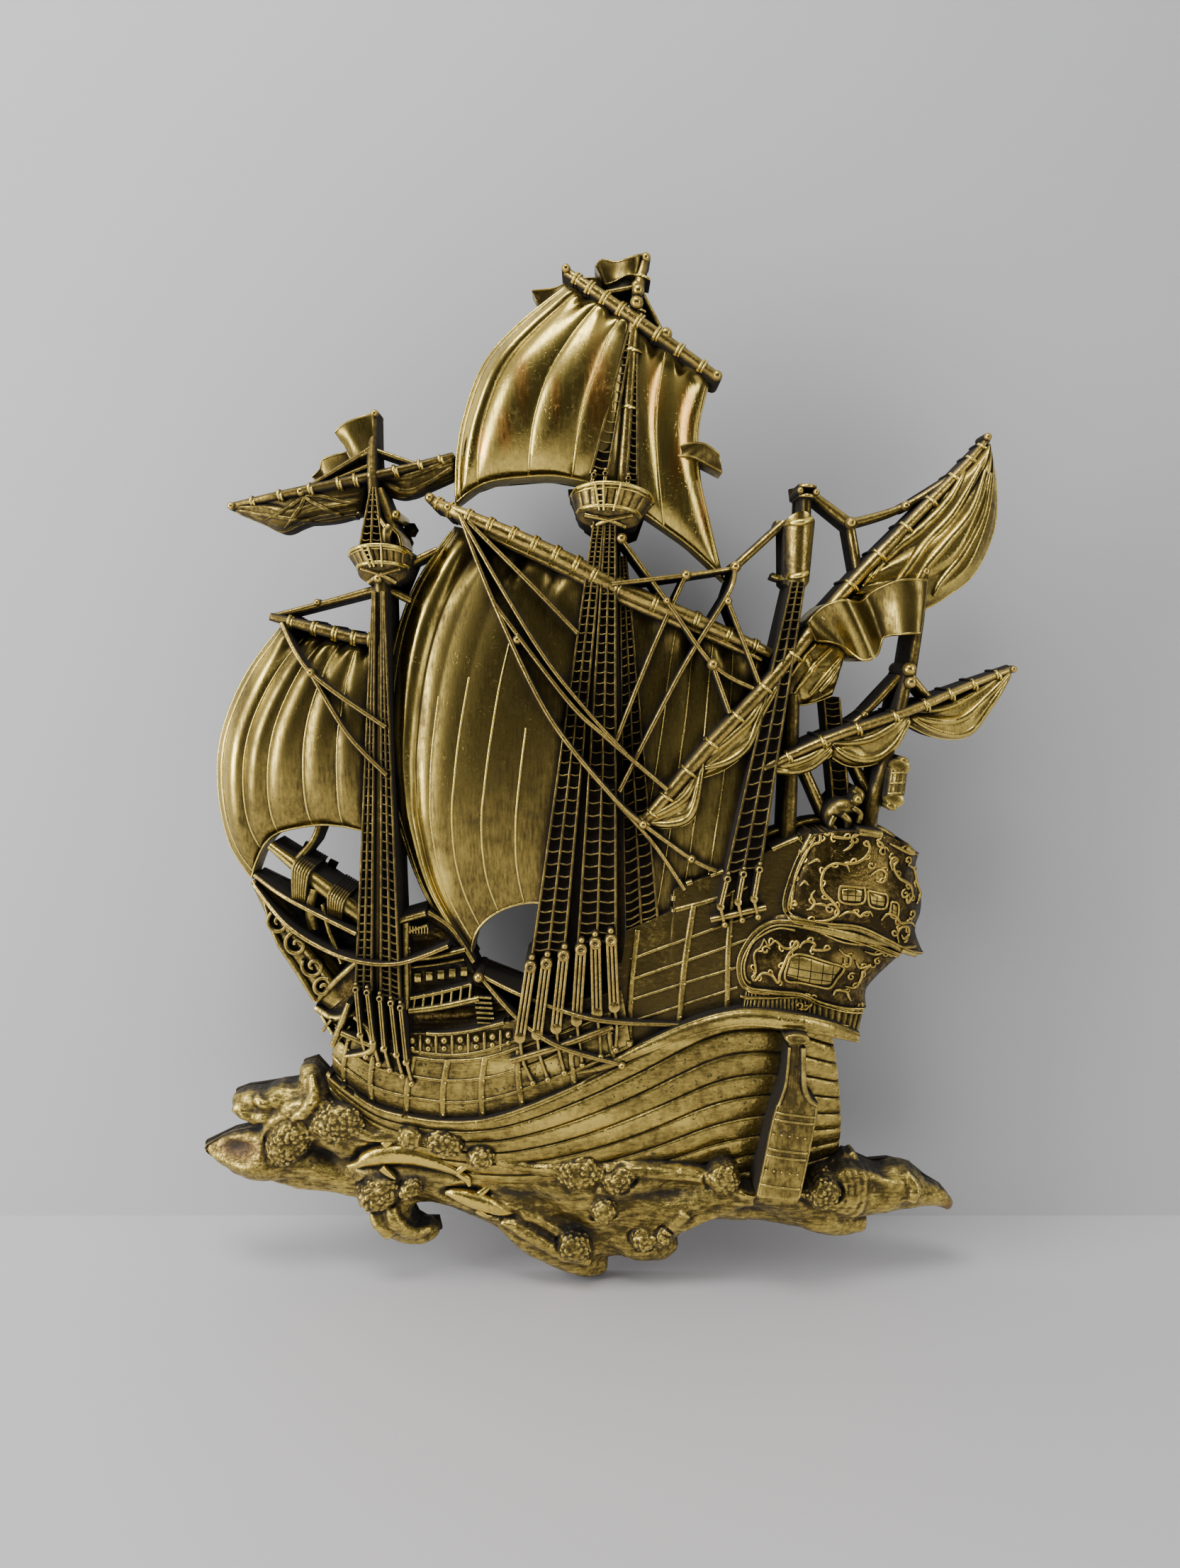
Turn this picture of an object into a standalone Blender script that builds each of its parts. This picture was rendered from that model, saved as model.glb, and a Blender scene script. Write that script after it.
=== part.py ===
"""Wall plaque: a moulded galleon under sail over rolling waves, cast in one piece.

All sizes are in millimetres and are turned into metres where the meshes are made.
A place on the plaque is (x, z): x to the right, z up, both from the hanger pad.
A depth is how far a surface stands in front of the flat back.
"""

import math

import bmesh
import bpy
from mathutils import Vector
from mathutils.bvhtree import BVHTree

MM = 0.001

# Driving depths, in front of the flat back
BEHIND = -6.0
EDGE = 15.0
ROPE_LIFT = 3.0
SEA_CREST = 40.0

# Driving widths of what repeats
ROPE = 3.2
SHROUD = 2.6
YARD = 9.0

# What the fused mesh keeps
KEPT_SHARE = 0.5

# Back and hanger pad
BACK_SIZE = 800.0
BACK_CENTRE = (-10.0, -190.0)

gold = (0.42, 0.30, 0.09, 1.0)


def clear_scene():
    for thing in list(bpy.data.objects):
        bpy.data.objects.remove(thing, do_unlink=True)


def along(points, t):
    """The place at share t of a smooth line through a few measured points."""
    last = len(points) - 1
    if last == 0:
        return tuple(points[0])
    leg = min(int(t * last), last - 1)
    s = t * last - leg
    before = points[max(leg - 1, 0)]
    start = points[leg]
    end = points[leg + 1]
    after = points[min(leg + 2, last)]
    place = []
    for a, b, c, d in zip(before, start, end, after):
        bend = (2.0 * a - 5.0 * b + 4.0 * c - d) * s * s + (3.0 * b - a - 3.0 * c + d) * s ** 3
        place.append(0.5 * (2.0 * b + (c - a) * s + bend))
    return tuple(place)


def mix(a, b, t):
    return tuple(p + (q - p) * t for p, q in zip(a, b))


def patch(top, bottom, left, right):
    """A surface between four edge lines: share u runs left to right, share v top to bottom."""
    def place(u, v):
        across = mix(along(top, u), along(bottom, u), v)
        down = mix(along(left, v), along(right, v), u)
        corner = mix(mix(top[0], top[-1], u), mix(bottom[0], bottom[-1], u), v)
        return tuple(a + b - c for a, b, c in zip(across, down, corner))
    return place


class Plaque:
    """Collects the forms that are fused into the one casting."""

    def __init__(self, name):
        self.name = name
        self.forms = bpy.data.collections.new(name + "_forms")
        bpy.context.scene.collection.children.link(self.forms)
        self.trees = {}

    def add(self, name, columns, rows, front):
        """A form whose front is a grid, front(u, v) giving (x, z, depth), closed behind."""
        bm = bmesh.new()
        bmesh.ops.create_grid(bm, x_segments=columns, y_segments=rows, size=0.5)
        for vert in bm.verts:
            x, z, depth = front(vert.co.x + 0.5, 0.5 - vert.co.y)
            vert.co = Vector((x, -depth, z)) * MM
        bmesh.ops.remove_doubles(bm, verts=bm.verts, dist=0.02 * MM)
        bmesh.ops.triangulate(bm, faces=bm.faces)
        self.trees[name] = BVHTree.FromBMesh(bm)
        return self.close(name, bm)

    def close(self, name, bm):
        rim = [edge for edge in bm.edges if edge.is_boundary]
        drawn = bmesh.ops.extrude_edge_only(bm, edges=rim)["geom"]
        for vert in drawn:
            if isinstance(vert, bmesh.types.BMVert):
                vert.co.y = -BEHIND * MM
        behind = [edge for edge in drawn if isinstance(edge, bmesh.types.BMEdge)]
        bmesh.ops.contextual_create(bm, geom=behind)
        bmesh.ops.recalc_face_normals(bm, faces=bm.faces)
        mesh = bpy.data.meshes.new(name)
        bm.to_mesh(mesh)
        bm.free()
        form = bpy.data.objects.new(name, mesh)
        form.hide_render = True
        form.display_type = "WIRE"
        self.forms.objects.link(form)
        return form

    def depth_at(self, names, x, z, otherwise):
        """The frontmost depth of the named forms at a place."""
        best = None
        for name in names:
            hit = self.trees[name].ray_cast(Vector((x * MM, -1.0, z * MM)), Vector((0.0, 1.0, 0.0)))
            if hit[0] is not None:
                depth = -hit[0].y / MM
                best = depth if best is None else max(best, depth)
        return otherwise if best is None else best

    def ridge(self, name, points, width, legs=None, over=None, lift=ROPE_LIFT, sides=3, flat=0.5):
        """A rounded rib along a line; points are (x, z, depth) or, over named forms, (x, z)."""
        legs = legs or max(1, len(points) - 1)
        line = []
        for step in range(legs + 1):
            place = along(points, step / legs)
            if over:
                depth = self.depth_at(over, place[0], place[1], EDGE) + lift
                place = (place[0], place[1], depth) + tuple(place[2:])
            line.append(place)
        widths = [p[3] if len(p) > 3 else width for p in line]
        normals = []
        for step in range(legs + 1):
            a = line[max(step - 1, 0)]
            b = line[min(step + 1, legs)]
            run = Vector((b[0] - a[0], b[1] - a[1]))
            run.normalize()
            normals.append((-run.y, run.x))

        def front(u, v):
            step = round(v * legs)
            x, z, depth = line[step][:3]
            half = widths[step] / 2.0
            across = 1.0 - 2.0 * u
            drop = half * 2.0 * flat * (1.0 - math.sqrt(max(0.0, 1.0 - across * across)))
            nx, nz = normals[step]
            return x + nx * across * half, z + nz * across * half, depth - drop
        return self.add(name, sides, legs, front)

    def shrouds(self, name, head, foot, high, low, count):
        """Ropes fanning down a web: a sharp rise at each rope and the web between them."""
        span = patch(head, foot, [head[0], foot[0]], [head[1], foot[1]])
        half = 0.18 / (count - 1)
        stops = []
        for rope in range(count):
            middle = min(max(rope / (count - 1), half), 1.0 - half)
            stops += [(middle - half, 0.0), (middle, SHROUD), (middle + half, 0.0)]

        def front(u, v):
            share, rise = stops[round(u * (len(stops) - 1))]
            return span(share, v) + (high + (low - high) * v + rise,)
        return self.add(name, len(stops) - 1, 1, front)

    def boss(self, name, x, z, rings, sides=8, stretch=1.0, turn=0.0):
        """A turned knob facing the viewer; rings are (radius, depth) from the rim to the top."""
        def front(u, v):
            radius, depth = along(rings, v)
            angle = 2.0 * math.pi * u
            a = radius * stretch * math.cos(angle)
            b = radius * math.sin(angle)
            c, s = math.cos(turn), math.sin(turn)
            return x + a * c - b * s, z + a * s + b * c, depth
        return self.add(name, sides, len(rings) - 1, front)

    def fuse(self):
        """Unions every form and cuts the back flat at depth zero."""
        base = self.forms.objects[0]
        body = bpy.data.objects.new(self.name, base.data.copy())
        bpy.context.scene.collection.objects.link(body)
        bpy.data.objects.remove(base, do_unlink=True)
        union = body.modifiers.new("fuse_forms", "BOOLEAN")
        union.operation = "UNION"
        union.operand_type = "COLLECTION"
        union.collection = self.forms
        union.solver = "EXACT"
        cutter = self.back_cutter()
        trim = body.modifiers.new("flat_back", "BOOLEAN")
        trim.operation = "DIFFERENCE"
        trim.object = cutter
        trim.solver = "EXACT"
        thinned = body.modifiers.new("thin_out", "DECIMATE")
        thinned.ratio = KEPT_SHARE
        return body

    def back_cutter(self):
        bm = bmesh.new()
        bmesh.ops.create_cube(bm, size=1.0)
        for vert in bm.verts:
            vert.co.x = (BACK_CENTRE[0] + vert.co.x * BACK_SIZE) * MM
            vert.co.z = (BACK_CENTRE[1] + vert.co.z * BACK_SIZE) * MM
            vert.co.y = (vert.co.y + 0.5) * 50.0 * MM
        mesh = bpy.data.meshes.new("back_cutter")
        bm.to_mesh(mesh)
        bm.free()
        cutter = bpy.data.objects.new("back_cutter", mesh)
        cutter.hide_render = True
        cutter.display_type = "WIRE"
        bpy.context.scene.collection.objects.link(cutter)
        return cutter


def swell(t, power=0.5):
    """Zero at both ends, one in the middle."""
    return max(0.0, 4.0 * t * (1.0 - t)) ** power


def sail(plaque, name, top, bottom, left, right, corners, belly, panels, rows, roll=2.5, fine=2):
    """A billowing sail with soft panels between its seams; corners are depths tl, tr, bl, br."""
    outline = patch(top, bottom, left, right)
    tl, tr, bl, br = corners

    def front(u, v):
        x, z = outline(u, v)
        base = (tl * (1 - u) + tr * u) * (1 - v) + (bl * (1 - u) + br * u) * v
        full = belly * swell(u, 0.55) * swell(v, 0.5)
        crease = roll * abs(math.sin(math.pi * panels * u)) * swell(v, 0.3)
        return x, z, base + full + crease
    return plaque.add(name, panels * fine, rows, front)


def build_sails(plaque):
    """The courses, topsails and the two lateen sails."""
    sail(plaque, "mainsail_left",
         top=[(-103, -21), (-85, -27), (-66, -34), (-48, -41), (-31, -49), (-14, -57)],
         bottom=[(-92, -309), (-93, -300), (-92, -290), (-86, -278), (-72, -267), (-52, -262),
                 (-36, -266)],
         left=[(-103, -21), (-130, -61), (-144, -105), (-149, -160), (-146, -191), (-140, -216),
               (-124, -260), (-92, -309)],
         right=[(-14, -57), (-24, -140), (-32, -210), (-36, -266)],
         corners=(18, 34, 22, 36), belly=19, panels=7, rows=9)
    sail(plaque, "mainsail_right",
         top=[(-20, -54), (33, -79), (62, -91), (98, -106)],
         bottom=[(-43, -266), (0, -290), (40, -285), (78, -262)],
         left=[(-20, -54), (-30, -140), (-38, -210), (-43, -266)],
         right=[(98, -106), (95, -165), (88, -215), (78, -262)],
         corners=(31, 26, 33, 30), belly=4, panels=5, rows=6, roll=1.5)
    sail(plaque, "topsail_left",
         top=[(-28, 129), (-18, 121), (-8, 114), (3, 106), (10, 100)],
         bottom=[(-102, -8), (-84, 4), (-55, 8), (-30, 7), (4, -2)],
         left=[(-28, 129), (-61, 103), (-83, 79), (-95, 50), (-101, 22), (-102, -8)],
         right=[(10, 100), (7, 60), (5, 30), (4, -2)],
         corners=(16, 30, 15, 28), belly=15, panels=5, rows=8)
    sail(plaque, "topsail_right",
         top=[(7, 101), (24, 91), (42, 81), (60, 70)],
         bottom=[(0, -3), (20, -16), (46, -34), (70, -56)],
         left=[(7, 101), (3, 60), (1, 30), (0, -3)],
         right=[(60, 70), (53, 40), (54, 10), (60, -16), (70, -56)],
         corners=(27, 18, 25, 16), belly=8, panels=3, rows=7)
    sail(plaque, "foresail",
         top=[(-216, -84), (-195, -89), (-178, -93), (-160, -97), (-146, -99)],
         bottom=[(-239, -250), (-232, -232), (-219, -218), (-189, -212), (-165, -215), (-152, -219)],
         left=[(-216, -84), (-240, -117), (-256, -155), (-259, -190), (-253, -225), (-239, -250)],
         right=[(-146, -99), (-145, -140), (-147, -180), (-152, -219)],
         corners=(15, 30, 16, 32), belly=16, panels=6, rows=8)
    sail(plaque, "mizzen_sail",
         top=[(155, -52), (180, -26), (205, 0), (236, 30)],
         bottom=[(148, -67), (170, -73), (192, -76), (198, -76)],
         left=[(155, -52), (153, -58), (150, -62), (148, -67)],
         right=[(236, 30), (241, 5), (241, -22), (230, -50), (213, -65), (198, -76)],
         corners=(24, 16, 22, 16), belly=10, panels=5, rows=7, roll=4.0)
    sail(plaque, "mizzen_skirt",
         top=[(113, -90), (125, -92), (138, -93), (149, -94)],
         bottom=[(107, -132), (117, -135), (128, -133), (139, -129)],
         left=[(113, -90), (111, -104), (109, -118), (107, -132)],
         right=[(149, -94), (147, -106), (144, -118), (139, -129)],
         corners=(26, 24, 26, 22), belly=4, panels=4, rows=3, roll=3.0)
    build_furled_sails(plaque)


def bunt(plaque, name, top, low, depth, fat, steps):
    """A furled length of sail that hangs in a soft bag under its yard."""
    outline = patch(top, low, [top[0], low[0]], [top[-1], low[-1]])

    def front(u, v):
        x, z = outline(u, v)
        return x, z, depth + fat * swell(v, 0.5) * swell(u, 0.3)
    return plaque.add(name, steps, 3, front)


def build_furled_sails(plaque):
    bunt(plaque, "fore_topgallant_left",
         top=[(-241, -8), (-212, -3), (-183, 3), (-154, 9)],
         low=[(-243, -12), (-224, -20), (-212, -25), (-196, -19), (-161, -13)],
         depth=14, fat=9, steps=8)
    bunt(plaque, "fore_topgallant_right",
         top=[(-151, 10), (-136, 13), (-123, 16), (-102, 23)],
         low=[(-148, 0), (-136, -3), (-123, 1), (-102, 10)],
         depth=14, fat=7, steps=5)
    bunt(plaque, "mizzen_bunt_upper",
         top=[(107, -110), (90, -128), (74, -144), (54, -168)],
         low=[(98, -135), (90, -146), (84, -163), (70, -175), (54, -181)],
         depth=34, fat=8, steps=6)
    bunt(plaque, "mizzen_bunt_lower",
         top=[(56, -166), (46, -178), (34, -192), (17, -207)],
         low=[(53, -181), (52, -200), (46, -210), (32, -213), (17, -212)],
         depth=34, fat=8, steps=6)
    bunt(plaque, "bonaventure_bunt_left",
         top=[(94, -174), (107, -169), (122, -163), (137, -156)],
         low=[(96, -176), (110, -178), (124, -175), (138, -166)],
         depth=34, fat=6, steps=4)
    bunt(plaque, "bonaventure_bunt_middle",
         top=[(135, -157), (152, -150), (168, -144), (187, -139)],
         low=[(138, -168), (150, -174), (167, -172), (180, -162), (188, -146)],
         depth=30, fat=7, steps=5)
    bunt(plaque, "bonaventure_bunt_right",
         top=[(187, -139), (202, -133), (226, -124), (257, -112)],
         low=[(190, -148), (208, -156), (229, -156), (243, -140), (257, -115)],
         depth=14, fat=8, steps=6)


def build_sea(plaque):
    """Rolling water with its arms, curls, foam heads and two dolphins."""
    top = [(-240, -424), (-226, -406), (-205, -394), (-178, -402), (-142, -414), (-97, -420),
           (-60, -430), (-20, -434), (20, -434), (58, -440), (95, -456), (128, -455),
           (154, -441), (180, -450), (206, -459)]
    low = [(-240, -455), (-218, -463), (-190, -467), (-160, -474), (-124, -474), (-98, -483),
           (-68, -496), (-42, -511), (-6, -512), (34, -504), (54, -486), (92, -485),
           (130, -491), (166, -482), (206, -478)]
    outline = patch(top, low, [top[0], low[0]], [top[-1], low[-1]])

    def front(u, v):
        x, z = outline(u, v)
        swirl = 2.5 * math.sin(2.0 * math.pi * (5.0 * u + 1.2 * v))
        ends = swell(u, 0.35)
        crest = SEA_CREST - 26.0 * v ** 2.2
        return x, z, EDGE + (crest - EDGE) * ends + swirl * ends
    plaque.add("sea", 26, 4, front)
    arms = {
        "wave_leaf": [(-281, -437, 12, 4), (-269, -438, 20, 18), (-255, -438, 27, 30), (-237, -439, 31, 36),
                      (-214, -438, 24, 36)],
        "wave_lobe": [(-259, -402, 15, 8), (-248, -403, 22, 18), (-234, -404, 27, 22), (-220, -402, 29, 28),
                      (-202, -406, 24, 28)],
        "wave_finger": [(-207, -376, 17, 10), (-204, -385, 25, 18), (-200, -396, 30, 26), (-194, -412, 26, 34)],
        "wave_tail": [(232, -480, 12, 7), (221, -471, 18, 14), (208, -467, 23, 20), (195, -461, 27, 30),
                      (180, -464, 30, 30), (160, -463, 33, 38), (138, -464, 28, 36)],
        "wave_fin": [(174, -490, 14, 12), (160, -489, 20, 18), (140, -482, 27, 24), (114, -470, 24, 20)],
        "wave_curl": [(-120, -494, 15, 9), (-132, -496, 21, 14), (-143, -491, 26, 20), (-151, -480, 29, 28),
                      (-150, -462, 24, 32)],
        "wave_foot": [(-4, -519, 15, 14), (-18, -517, 22, 22), (-38, -505, 28, 27), (-58, -492, 30, 26),
                      (-80, -476, 24, 16)],
        "wave_knee": [(44, -503, 15, 14), (30, -504, 23, 23), (12, -497, 29, 28), (-10, -478, 24, 26)],
    }
    for name, points in arms.items():
        plaque.ridge(name, points, 10.0, legs=len(points), sides=4, flat=0.42)
    foam = [(-215, -424, 30, 15), (-181, -409, 34, 12), (-135, -418, 42, 7), (-118, -419, 42, 8),
            (-89, -430, 42, 9), (-10, -444, 42, 11), (-4, -467, 40, 9), (72, -446, 42, 11),
            (138, -456, 42, 10), (-172, -468, 32, 10), (-143, -470, 32, 8), (24, -508, 24, 12)]
    for number, (x, z, depth, radius) in enumerate(foam):
        plaque.boss(f"foam_{number}", x, z,
                    [(radius, depth - 0.6 * radius), (radius * 0.8, depth - 0.15 * radius), (0.0, depth)], sides=6)
    dolphins = {
        "dolphin_near": [(-176, -438, 37, 3), (-162, -435, 41, 13), (-142, -431, 42, 15),
                         (-120, -434, 41, 11), (-102, -445, 38, 3)],
        "dolphin_far": [(-114, -458, 36, 3), (-100, -460, 38, 11), (-84, -466, 37, 9), (-74, -470, 34, 3)],
    }
    for name, points in dolphins.items():
        plaque.ridge(name, points, 10.0, legs=6, sides=4, flat=0.4)
    plaque.ridge("dolphin_fin", [(-150, -427, 42, 6), (-143, -422, 42, 2)], 4.0)


def build_hull(plaque):
    """Waist, planked bottom and the high quarter."""
    lower_wale = [(-190, -377), (-176, -385), (-157, -396), (-136, -401), (-111, -404), (-84, -402),
                  (-56, -393), (-22, -378), (16, -358), (56, -337), (80, -332), (110, -336), (143, -350)]
    keel = [(-189, -396), (-176, -424), (-150, -445), (-120, -455), (-84, -462), (-48, -466), (-10, -466),
            (30, -462), (66, -458), (100, -456), (128, -454), (153, -448)]
    planks = 8
    bottom = patch(lower_wale, keel, [lower_wale[0], keel[0]],
                   [(143, -350), (149, -385), (153, -420), (153, -448)])

    def bottom_front(u, v):
        x, z = bottom(u, v)
        belly = 12.0 + 38.0 * swell(0.06 + 0.90 * u, 0.45)
        lap = 1.6 * (1.0 - (v * planks) % 1.0) if v < 1.0 else 0.0
        return x, z, belly - 24.0 * v ** 1.6 + lap
    plaque.add("bottom", 12, planks * 2, bottom_front)

    waist_top = [(-195, -330), (-184, -338), (-172, -346), (-152, -352), (-132, -346), (-104, -345),
                 (-68, -337), (-34, -326), (4, -316)]
    waist_low = [(-188, -380), (-174, -390), (-156, -401), (-135, -407), (-111, -410), (-84, -408),
                 (-56, -400), (-22, -385), (12, -367)]
    waist = patch(waist_top, waist_low, [(-195, -330), (-184, -347), (-187, -362), (-188, -380)],
                  [(4, -316), (12, -367)])

    def waist_front(u, v):
        x, z = waist(u, v)
        return x, z, 22.0 + 24.0 * swell(0.5 * u, 0.45) + 2.5 * math.sin(math.pi * v) - 6.0 * v ** 6
    plaque.add("waist", 12, 3, waist_front)

    quarter_top = [(2, -281), (18, -273), (36, -265), (52, -250), (70, -241), (98, -227), (124, -214)]
    quarter_low = [(1, -370), (20, -362), (38, -353), (56, -345), (74, -340), (92, -338), (112, -339)]
    quarter = patch(quarter_top, quarter_low, [(2, -281), (1, -370)],
                    [(124, -214), (114, -248), (107, -275), (103, -300), (112, -339)])

    def quarter_front(u, v):
        x, z = quarter(u, v)
        return x, z, 40.0 + 7.0 * v - 9.0 * v ** 8
    plaque.add("quarter", 7, 4, quarter_front)

    over = ["waist", "quarter", "bottom"]
    wales = {
        "wale_low": [lower_wale[i] for i in (0, 1, 2, 3, 5, 6, 7, 8)] + [(39, -347), (56, -337)],
        "wale_mid": [(-188, -364), (-172, -374), (-152, -384), (-111, -391), (-80, -388), (-50, -378),
                     (-16, -364), (3, -356)],
        "wale_top": [(-184, -350), (-170, -361), (-150, -370), (-111, -376), (-80, -373), (-52, -364), (-30, -354)],
        "rail_low": [(-132, -358), (-106, -360), (-85, -357), (-64, -350)],
        "rail_top": [(-133, -344), (-116, -346), (-95, -344), (-68, -337)],
        "quarter_rail": [(2, -281), (18, -273), (36, -266), (64, -258), (84, -250)],
        "quarter_step": [(37, -266), (37, -252), (52, -246), (70, -240), (98, -227)],
        "quarter_band_1": [(16, -296), (44, -286), (92, -268)],
        "quarter_band_2": [(16, -316), (44, -305), (80, -293)],
        "quarter_band_3": [(18, -331), (44, -321), (80, -312)],
    }
    for name, points in wales.items():
        plaque.ridge(name, points, 3.4, legs=max(2, len(points) - 2), over=over, lift=2.4, sides=2)
    ribs = [((-173, -352), (-178, -383)), ((-156, -361), (-158, -394)), ((-130, -358), (-136, -401)),
            ((-108, -360), (-112, -404)), ((-84, -356), (-86, -402)), ((-62, -360), (-60, -394)),
            ((-28, -354), (-26, -380)), ((14, -340), (17, -357)), ((16, -281), (11, -333)),
            ((50, -266), (42, -342)), ((74, -272), (74, -330))]
    for number, (head, foot) in enumerate(ribs):
        plaque.ridge(f"rib_{number}", [head, foot], 4.2, legs=1, over=over, lift=2.8, sides=2)
    for number, x in enumerate((-130, -119, -108, -95, -82)):
        z = -352 + 0.0012 * (x + 106) ** 2
        plaque.boss(f"knob_{number}", x, z, [(3.2, 50), (0.0, 53)], sides=5)

    moulding = [(-8, -366, 50, 3), (20, -352, 53, 6), (50, -338, 55, 9), (80, -332, 56, 11), (112, -335, 55, 11),
                (136, -341, 50, 9), (158, -350, 40, 6)]
    plaque.ridge("stern_moulding", moulding, 8.0, legs=8, sides=4)
    build_rudder(plaque)


def build_rudder(plaque):
    centre = [(119, -346), (117, -366), (115, -386), (113, -404), (110, -428), (108, -452)]
    width = [(12, 0), (11, 0), (17, 0), (25, 0), (27, 0), (27, 0)]

    def front(u, v):
        x, z = along(centre, v)
        half = along(width, v)[0] / 2.0
        across = 2.0 * u - 1.0
        return x + half * across, z - 1.5 * across, 56.0 - 3.0 * abs(across) ** 3
    plaque.add("rudder", 3, 6, front)
    for number, z in enumerate((-398, -421, -447)):
        shift = 0.12 * (z + 398)
        plaque.ridge(f"rudder_band_{number}", [(101 + shift, z + 2, 58), (127 + shift, z - 3, 58)], 5.0, sides=2)
    plaque.boss("rudder_head", 119, -346, [(8, 54), (8, 60), (5, 62), (0, 62)], sides=8, stretch=1.1)


def build_stern(plaque):
    """The two galleries with their scrolled frames."""
    upper = patch([(123, -216), (140, -213), (160, -214), (177, -219), (190, -228), (198, -231)],
                  [(112, -270), (134, -273), (153, -276), (172, -285), (190, -294), (203, -298)],
                  [(123, -216), (114, -240), (109, -258), (112, -270)],
                  [(198, -231), (196, -240), (200, -258), (200, -270), (197, -282), (203, -298)])

    def upper_front(u, v):
        x, z = upper(u, v)
        return x, z, 44.0 - 20.0 * u * u + 14.0 * swell(u, 0.7) * swell(0.15 + 0.7 * v, 0.6)
    plaque.add("upper_gallery", 8, 6, upper_front)
    lower = patch([(101, -268), (118, -267), (134, -270), (153, -275), (172, -285), (190, -296)],
                  [(82, -316), (98, -318), (116, -319), (131, -325), (148, -331), (166, -334)],
                  [(101, -268), (88, -279), (80, -294), (79, -306), (82, -316)],
                  [(190, -296), (176, -309), (167, -319), (165, -326), (166, -334)])

    def lower_front(u, v):
        x, z = lower(u, v)
        return x, z, 43.0 - 17.0 * u * u + 13.0 * swell(u, 0.7) * swell(0.1 + 0.8 * v, 0.6)
    plaque.add("lower_gallery", 8, 5, lower_front)
    skirt = patch([(84, -311), (104, -312), (128, -319), (164, -330)],
                  [(80, -336), (104, -337), (128, -342), (158, -352)],
                  [(84, -311), (80, -336)], [(164, -330), (158, -352)])

    def skirt_front(u, v):
        x, z = skirt(u, v)
        return x, z, 45.0 + 4.0 * v - 16.0 * u * u + 1.2 * math.cos(math.pi * 14 * u)
    plaque.add("fluted_skirt", 14, 2, skirt_front)
    over = ["upper_gallery", "lower_gallery", "fluted_skirt", "quarter"]
    frames = {
        "frame_upper": [(124, -216), (114, -238), (108, -260), (114, -271), (134, -273), (153, -275), (172, -284),
                        (188, -293), (202, -298)],
        "frame_lower": [(186, -298), (160, -286), (134, -277), (114, -272), (98, -273), (86, -283), (79, -299),
                        (83, -314), (100, -317), (118, -319), (132, -326), (150, -332), (164, -334)],
        "gallery_ledge": [(112, -271), (135, -275), (160, -282), (180, -291), (200, -298)],
        "stern_cornice": [(98, -221), (114, -216), (132, -211), (156, -214), (176, -218), (190, -229)],
    }
    for name, points in frames.items():
        plaque.ridge(name, points, 5.0, legs=len(points), over=over, lift=3.4, sides=2)
    scrolls = [(135, -241, 13, 0.9, 2.6, 1), (172, -244, 12, 0.9, 0.4, -1),
               (122, -300, 10, 0.9, 2.0, 1), (152, -304, 10, 0.9, 5.4, -1)]
    for number, (x, z, radius, turns, start, hand) in enumerate(scrolls):
        line = []
        for step in range(6):
            share = step / 5.0
            angle = start + hand * 2.0 * math.pi * turns * share
            reach = radius * (1.0 - 0.72 * share)
            line.append((x + reach * math.cos(angle), z + reach * math.sin(angle)))
        plaque.ridge(f"scroll_{number}", line, 3.6, legs=6, over=over, lift=2.4, sides=2)
    bay = [(146, -249), (160, -252), (174, -256)]
    for number, (x, z) in enumerate(bay):
        plaque.boss(f"window_{number}", x, z, [(6.5, 48 - 4 * number), (6.0, 56 - 5 * number), (0, 57 - 5 * number)],
                    sides=4, turn=math.pi / 4)
    plaque.ridge("seated_figure", [(137, -206, 34, 8), (144, -198, 40, 13), (152, -195, 40, 10), (156, -206, 36, 6)],
                 8.0, legs=5, sides=3)
    plaque.boss("figure_head", 153, -192, [(4.5, 36), (3.8, 42), (0, 44)], sides=6)
    plaque.ridge("lantern", [(180, -168, 36, 5), (179, -173, 42, 12), (177, -182, 44, 15), (175, -191, 42, 13),
                             (173, -197, 36, 7)], 10.0, legs=6, sides=4)
    plaque.ridge("lantern_post", [(171, -192, 32, 7), (166, -203, 32, 8), (163, -217, 32, 14)], 7.0)


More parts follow.
